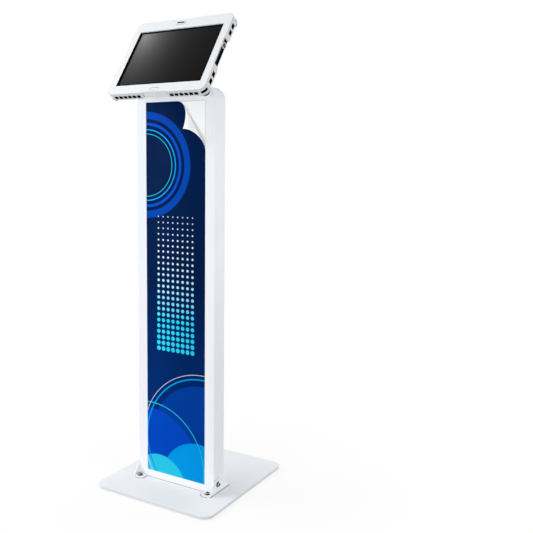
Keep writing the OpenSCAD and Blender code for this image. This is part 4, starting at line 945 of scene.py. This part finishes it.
# %% [markdown]
# ## The tablet's glass
# Behind the bezel lies one black glass. Its display carries a painted reflection, a dim grey gradient
# from its upper left, painted in the glass's own coordinates so that it stays in place from any side;
# the real shine is left to the shader. The black border round the display is the tablet's mask, drawn
# wide enough to stand also for a painted shade under the bezel's lip. A copy of the solid already has
# the round corners and the hole behind the key, so it only gets a small ground edge and a UV map that
# measures across and up the head.

# %% Paint the glass
# The display's half size leaves a black border: the tablet's mask, widened as painted shade under the lip.
DISPLAY_HALF = (102.9 * MM, 72.9 * MM)
DISPLAY_UP = -2.2 * MM
REFLECTION_AT, REFLECTION_STRETCH, REFLECTION_REACH = (-0.092, 0.040, 0), (1, 0.62, 0), 0.040
BORDER, DIMMEST, BRIGHTEST = grey(0.0012), grey(0.006), grey(0.27)
glass_face, tree, sockets, coords = new_finish("tablet_glass")
axes = put(tree, "ShaderNodeSeparateXYZ", coords["UV"])
stretched = put(tree, "ShaderNodeVectorMath", coords["UV"], REFLECTION_STRETCH, operation="MULTIPLY")
to_reflection = put(tree, "ShaderNodeVectorMath", stretched.outputs["Vector"], REFLECTION_AT, operation="DISTANCE")
painted_reflection = maths(tree, "POWER", math.e, maths(tree, "MULTIPLY", to_reflection.outputs["Value"], -1 / REFLECTION_REACH))
on_display = 1.0
for axis, centre, half in (("X", 0.0, DISPLAY_HALF[0]), ("Y", DISPLAY_UP, DISPLAY_HALF[1])):
    offset = maths(tree, "ABSOLUTE", maths(tree, "SUBTRACT", axes.outputs[axis], centre))
    on_display = maths(tree, "MULTIPLY", on_display, maths(tree, "LESS_THAN", offset, half))
# Painted reflection: a grey gradient from the upper left on the dark display.
display = mixed(tree, painted_reflection, DIMMEST, BRIGHTEST)
fingers = use(tree, handling, Vector=coords["UV"], Scale=22.0)
feed(tree, sockets["Base Color"], mixed(tree, on_display, BORDER, display))
feed(tree, sockets["Roughness"], remap(tree, fingers["Smear"], 0.10, 0.22))
sockets["Specular IOR Level"].default_value = 0.02
print("display of", [round(2000 * half, 1) for half in DISPLAY_HALF], "mm")

# %% Soften the glass
bm = eased("tablet_glass", 0.25 * MM)
own = bm.loops.layers.uv.new("own_size")
for face in bm.faces:
    for loop in face.loops:
        place = TO_HEAD @ loop.vert.co
        loop[own].uv = (place.x, place.z)
pane = show(bm, "tablet_glass", "pane", glass_face)
print("glass pane of", len(pane.data.polygons), "faces")

# %% [markdown]
# ## Socket screws
# Every screw is a domed head with a hexagon socket. A copy of the solid would do from far off, but its head
# is a plain cone. Here a half profile is spun round an axis, the ring of edges left open at its top is
# extruded inwards and drawn to a hexagon, then extruded down and filled. The place, size and direction
# of each head are read from the solid that it stands for.

# %% Find the heads of the screws
def islands(bm):
    """Groups of joined vertices, one for each loose piece."""
    left = set(bm.verts)
    while left:
        waiting = [left.pop()]
        reached = []
        while waiting:
            vert = waiting.pop()
            reached.append(vert)
            joined = {e.other_vert(vert) for e in vert.link_edges} & left
            left -= joined
            waiting.extend(joined)
        yield reached


def head_seats(node, facing):
    """Matrix, radius and height of each head of a node, with Z along its axis and the seat at zero."""
    bm = merged_copy(node)
    seats = []
    for island in islands(bm):
        middle = sum((v.co for v in island), Vector()) / len(island)
        turn = facing(middle).to_track_quat("Z", "Y").to_matrix()
        points = [turn.inverted() @ v.co for v in island]
        low, high = box_of(points)
        axis = (low + high) / 2
        radius = (high.x - low.x) / 2
        seat = min(p.z for p in points if math.hypot(p.x - axis.x, p.y - axis.y) > 0.97 * radius)
        place = Matrix.Translation(turn @ Vector((axis.x, axis.y, seat))) @ turn.to_4x4()
        seats.append((place, radius, high.z - seat))
    bm.free()
    return seats


REARWARD = HEAD.to_3x3() @ Vector((0, 1, 0))
SCREWS = {"foot_screws": lambda middle: Vector((0, 0, 1)),
          "ear_screws": lambda middle: Vector((math.copysign(1, middle.x), 0, 0)),
          "mount_screws": lambda middle: REARWARD, "shell_screws": lambda middle: REARWARD,
          "bolt_screws": lambda middle: Vector((0, 1, 0))}
SEATS = {node: head_seats(node, facing) for node, facing in SCREWS.items()}
print({node: len(seats) for node, seats in SEATS.items()})

# %% Model one screw head
SPIN_STEPS = 24
DOME = ((0.90, 0.20), (0.90, 0.45), (0.84, 0.72), (0.72, 0.92))


def spun(bm, outline):
    """Full turn of an outline of radius and height round Z; returns the new vertices."""
    before = set(bm.verts)
    points = [bm.verts.new((radius, 0, height)) for radius, height in outline]
    edges = [bm.edges.new(pair) for pair in zip(points, points[1:])]
    bmesh.ops.spin(bm, geom=points + edges, cent=(0, 0, 0), axis=(0, 0, 1), angle=math.tau, steps=SPIN_STEPS,
                   use_merge=True)
    new = [v for v in bm.verts if v not in before]
    bmesh.ops.remove_doubles(bm, verts=new, dist=0.002 * MM)
    return [v for v in bm.verts if v not in before]


def open_ring(verts, height):
    """Open edges at one height."""
    edges = {e for v in verts for e in v.link_edges if e.is_boundary}
    return [e for e in edges if all(abs(v.co.z - height) < 0.01 * MM for v in e.verts)]


def add_screw_head(bm, place, radius, height, bright=0, dark=1):
    """Domed head on a flange, with a hexagon socket; the flange, the dome's outer slope and the socket are painted
    dark as shade.
    """
    socket = 0.54 * radius
    land = 1.22 * socket
    flange = 1.06 * radius
    dome = [(across * radius, up * height) for across, up in DOME]
    verts = spun(bm, [(0, 0), (flange, 0), (flange, 0.14 * height), *dome, (land, height)])
    drawn_in = bmesh.ops.extrude_edge_only(bm, edges=open_ring(verts, height))["geom"]
    corner = [g for g in drawn_in if isinstance(g, bmesh.types.BMVert)]
    for vert in corner:
        turn = math.atan2(vert.co.y, vert.co.x) % (math.pi / 3) - math.pi / 6
        vert.co *= socket / math.cos(turn) / math.hypot(vert.co.x, vert.co.y)
        vert.co.z = height
    down = bmesh.ops.extrude_edge_only(bm, edges=open_ring(corner, height))["geom"]
    floor = [g for g in down if isinstance(g, bmesh.types.BMVert)]
    bmesh.ops.translate(bm, vec=(0, 0, -0.6 * height), verts=floor)
    bmesh.ops.edgeloop_fill(bm, edges=open_ring(floor, 0.4 * height))
    made = set(verts) | set(corner) | set(floor)
    sunk = set(floor)
    # The flange, the dome's outer slope and the socket take the dark material, as painted shade.
    for face in {f for v in made for f in v.link_faces}:
        outer = max(math.hypot(v.co.x, v.co.y) for v in face.verts) > 0.895 * radius
        face.material_index = dark if outer or any(v in sunk for v in face.verts) else bright
    bmesh.ops.transform(bm, matrix=place, verts=list(made))


trial = bmesh.new()
add_screw_head(trial, Matrix(), 4 * MM, 2 * MM)
print("one head has", len(trial.faces), "faces")
trial.free()

# %% Set the screws
IN_FRONT = ("foot_screws", "ear_screws")
for node, seats in SEATS.items():
    bm = bmesh.new()
    for place, radius, height in seats:
        add_screw_head(bm, place, radius, height)
    bmesh.ops.recalc_face_normals(bm, faces=bm.faces)
    show(bm, node, "domed", NICKEL if node in IN_FRONT else SCREW_PLATE, BLACKENED_AND_SHADE)
    print(node, "have heads of", round(2000 * seats[0][1], 1), "mm")

# %% [markdown]
# ## The corner knobs
# Four black knobs clamp the halves of the enclosure. Each has a grip of shallow flutes and a plated
# screw sunk in its middle. A knurl could be a bump texture, but its outline would stay round. A ring of
# points is easy to draw in at every second pair, and the face inside it is then extruded and inset.

# %% Model the knobs
FLUTES = 16
FLUTE_DRAWN_IN = 0.93
KNOB_SUNK, KNOB_SCREW_T = 1.7 * MM, 1.5 * MM


def add_knob(bm, place, radius, height):
    """Fluted knob with a recess, standing on local Z = 0."""
    ring = bmesh.ops.create_circle(bm, cap_ends=True, radius=radius, segments=4 * FLUTES)["verts"]
    for vert in ring:
        share = math.atan2(vert.co.y, vert.co.x) / math.tau * FLUTES % 1
        vert.co *= FLUTE_DRAWN_IN if share > 0.49 else 1.0
    foot = ring[0].link_faces[0]
    lifted = bmesh.ops.extrude_face_region(bm, geom=[foot], use_keep_orig=True)["geom"]
    top = next(g for g in lifted if isinstance(g, bmesh.types.BMFace))
    bmesh.ops.translate(bm, vec=(0, 0, height), verts=top.verts)
    made = set(ring) | set(top.verts)
    for inset, drop in ((0.6 * MM, 0.5 * MM), (0.28 * radius, 0.0), (0.25 * MM, -1.6 * MM)):
        bmesh.ops.inset_individual(bm, faces=[top], thickness=inset, depth=0.0)
        bmesh.ops.translate(bm, vec=(0, 0, drop), verts=top.verts)
        made.update(top.verts)
    bmesh.ops.translate(bm, vec=(0, 0, -0.5 * MM), verts=list(made - set(ring)))
    bmesh.ops.transform(bm, matrix=place, verts=list(made))


bm = bmesh.new()
for place, radius, height in head_seats("corner_knobs", lambda middle: REARWARD):
    add_knob(bm, place, radius, height)
    sunk = place @ Matrix.Translation((0, 0, height - KNOB_SUNK))
    add_screw_head(bm, sunk, 0.56 * radius, KNOB_SCREW_T, bright=1, dark=2)
bmesh.ops.recalc_face_normals(bm, faces=bm.faces)
knobs = show(bm, "corner_knobs", "fluted", BLACK_MOULDED, NICKEL, BLACKENED_AND_SHADE)
print("knobs", [round(v, 4) for v in knobs.dimensions])

# %% [markdown]
# ## The power adapter, its plug and its lead
# The adapter is a moulded brick in two halves with a groove where they meet. The plug has a ribbed
# sleeve that keeps the lead from kinking. Grooves could be painted as dark lines, but in this box the light
# comes from the side and real ones catch it. So two cuts mark out each groove, and the strip between them
# is inset into the body. The lead keeps its route from the solid and is rounded by subdivision.

# %% Groove the adapter and the plug
def sink_strip(bm, point, normal, width, depth):
    """Cuts a strip round a body, square to a direction, and sinks it."""
    for shift in (-width / 2, width / 2):
        bmesh.ops.bisect_plane(bm, geom=bm.verts[:] + bm.edges[:] + bm.faces[:], dist=1e-6,
                               plane_co=point + normal * shift, plane_no=normal)
    strip = [f for f in bm.faces if abs((f.calc_center_median() - point).dot(normal)) < width / 2]
    bmesh.ops.inset_region(bm, faces=strip, thickness=0.02 * MM, depth=-depth, use_even_offset=True)


bm = eased("power_adapter", 2.2 * MM, 4)
adapter_low, adapter_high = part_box("power_adapter")
sink_strip(bm, (adapter_low + adapter_high) / 2, Vector((0, 1, 0)), 0.8 * MM, 0.5 * MM)
brick = show(bm, "power_adapter", "halves", BLACK_MOULDED)

plug_low, plug_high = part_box("adapter_plug")
plug_middle = (plug_low + plug_high) / 2
SLEEVE_RIBS = 5
SLEEVE_START = plug_low.z + 16 * MM
bm = eased("adapter_plug", 0.6 * MM)
for rib in range(SLEEVE_RIBS):
    height = SLEEVE_START + (rib + 0.7) * (plug_high.z - SLEEVE_START) / SLEEVE_RIBS
    rib_place = Vector((plug_middle.x, plug_middle.y, height))
    sink_strip(bm, rib_place, Vector((0, 0, 1)), 1.1 * MM, 0.6 * MM)
show(bm, "adapter_plug", "ribbed", BLACK_MOULDED)

LEAD_THICKER = 0.85 * MM
bm = bmesh.new()
bm.from_mesh(NODES["adapter_lead"].data)
bmesh.ops.remove_doubles(bm, verts=bm.verts, dist=WELD)
bmesh.ops.join_triangles(bm, faces=bm.faces, angle_face_threshold=math.pi, angle_shape_threshold=math.pi)
bm.normal_update()
for vert in bm.verts:
    vert.co += vert.normal * LEAD_THICKER
lead = show(bm, "adapter_lead", "smooth", BLACK_RUBBER_AND_SHADE)
lead.modifiers.clear()
rounded = lead.modifiers.new("rounded", "SUBSURF")
rounded.levels = rounded.render_levels = 2
print("adapter of", len(brick.data.polygons), "faces, lead of", len(lead.data.polygons))

# %% [markdown]
# ## The size of the dressed stand
# The box of the solids and the box of the dressed stand are printed side by side, so that anyone can see
# that the finishes added next to nothing to its size.

# %% Finish
dressed_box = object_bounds()
sizes = {"cad": [list(v) for v in CAD_BOX], "visual": [list(v) for v in dressed_box]}
print("solids", sizes["cad"], "dressed", sizes["visual"])
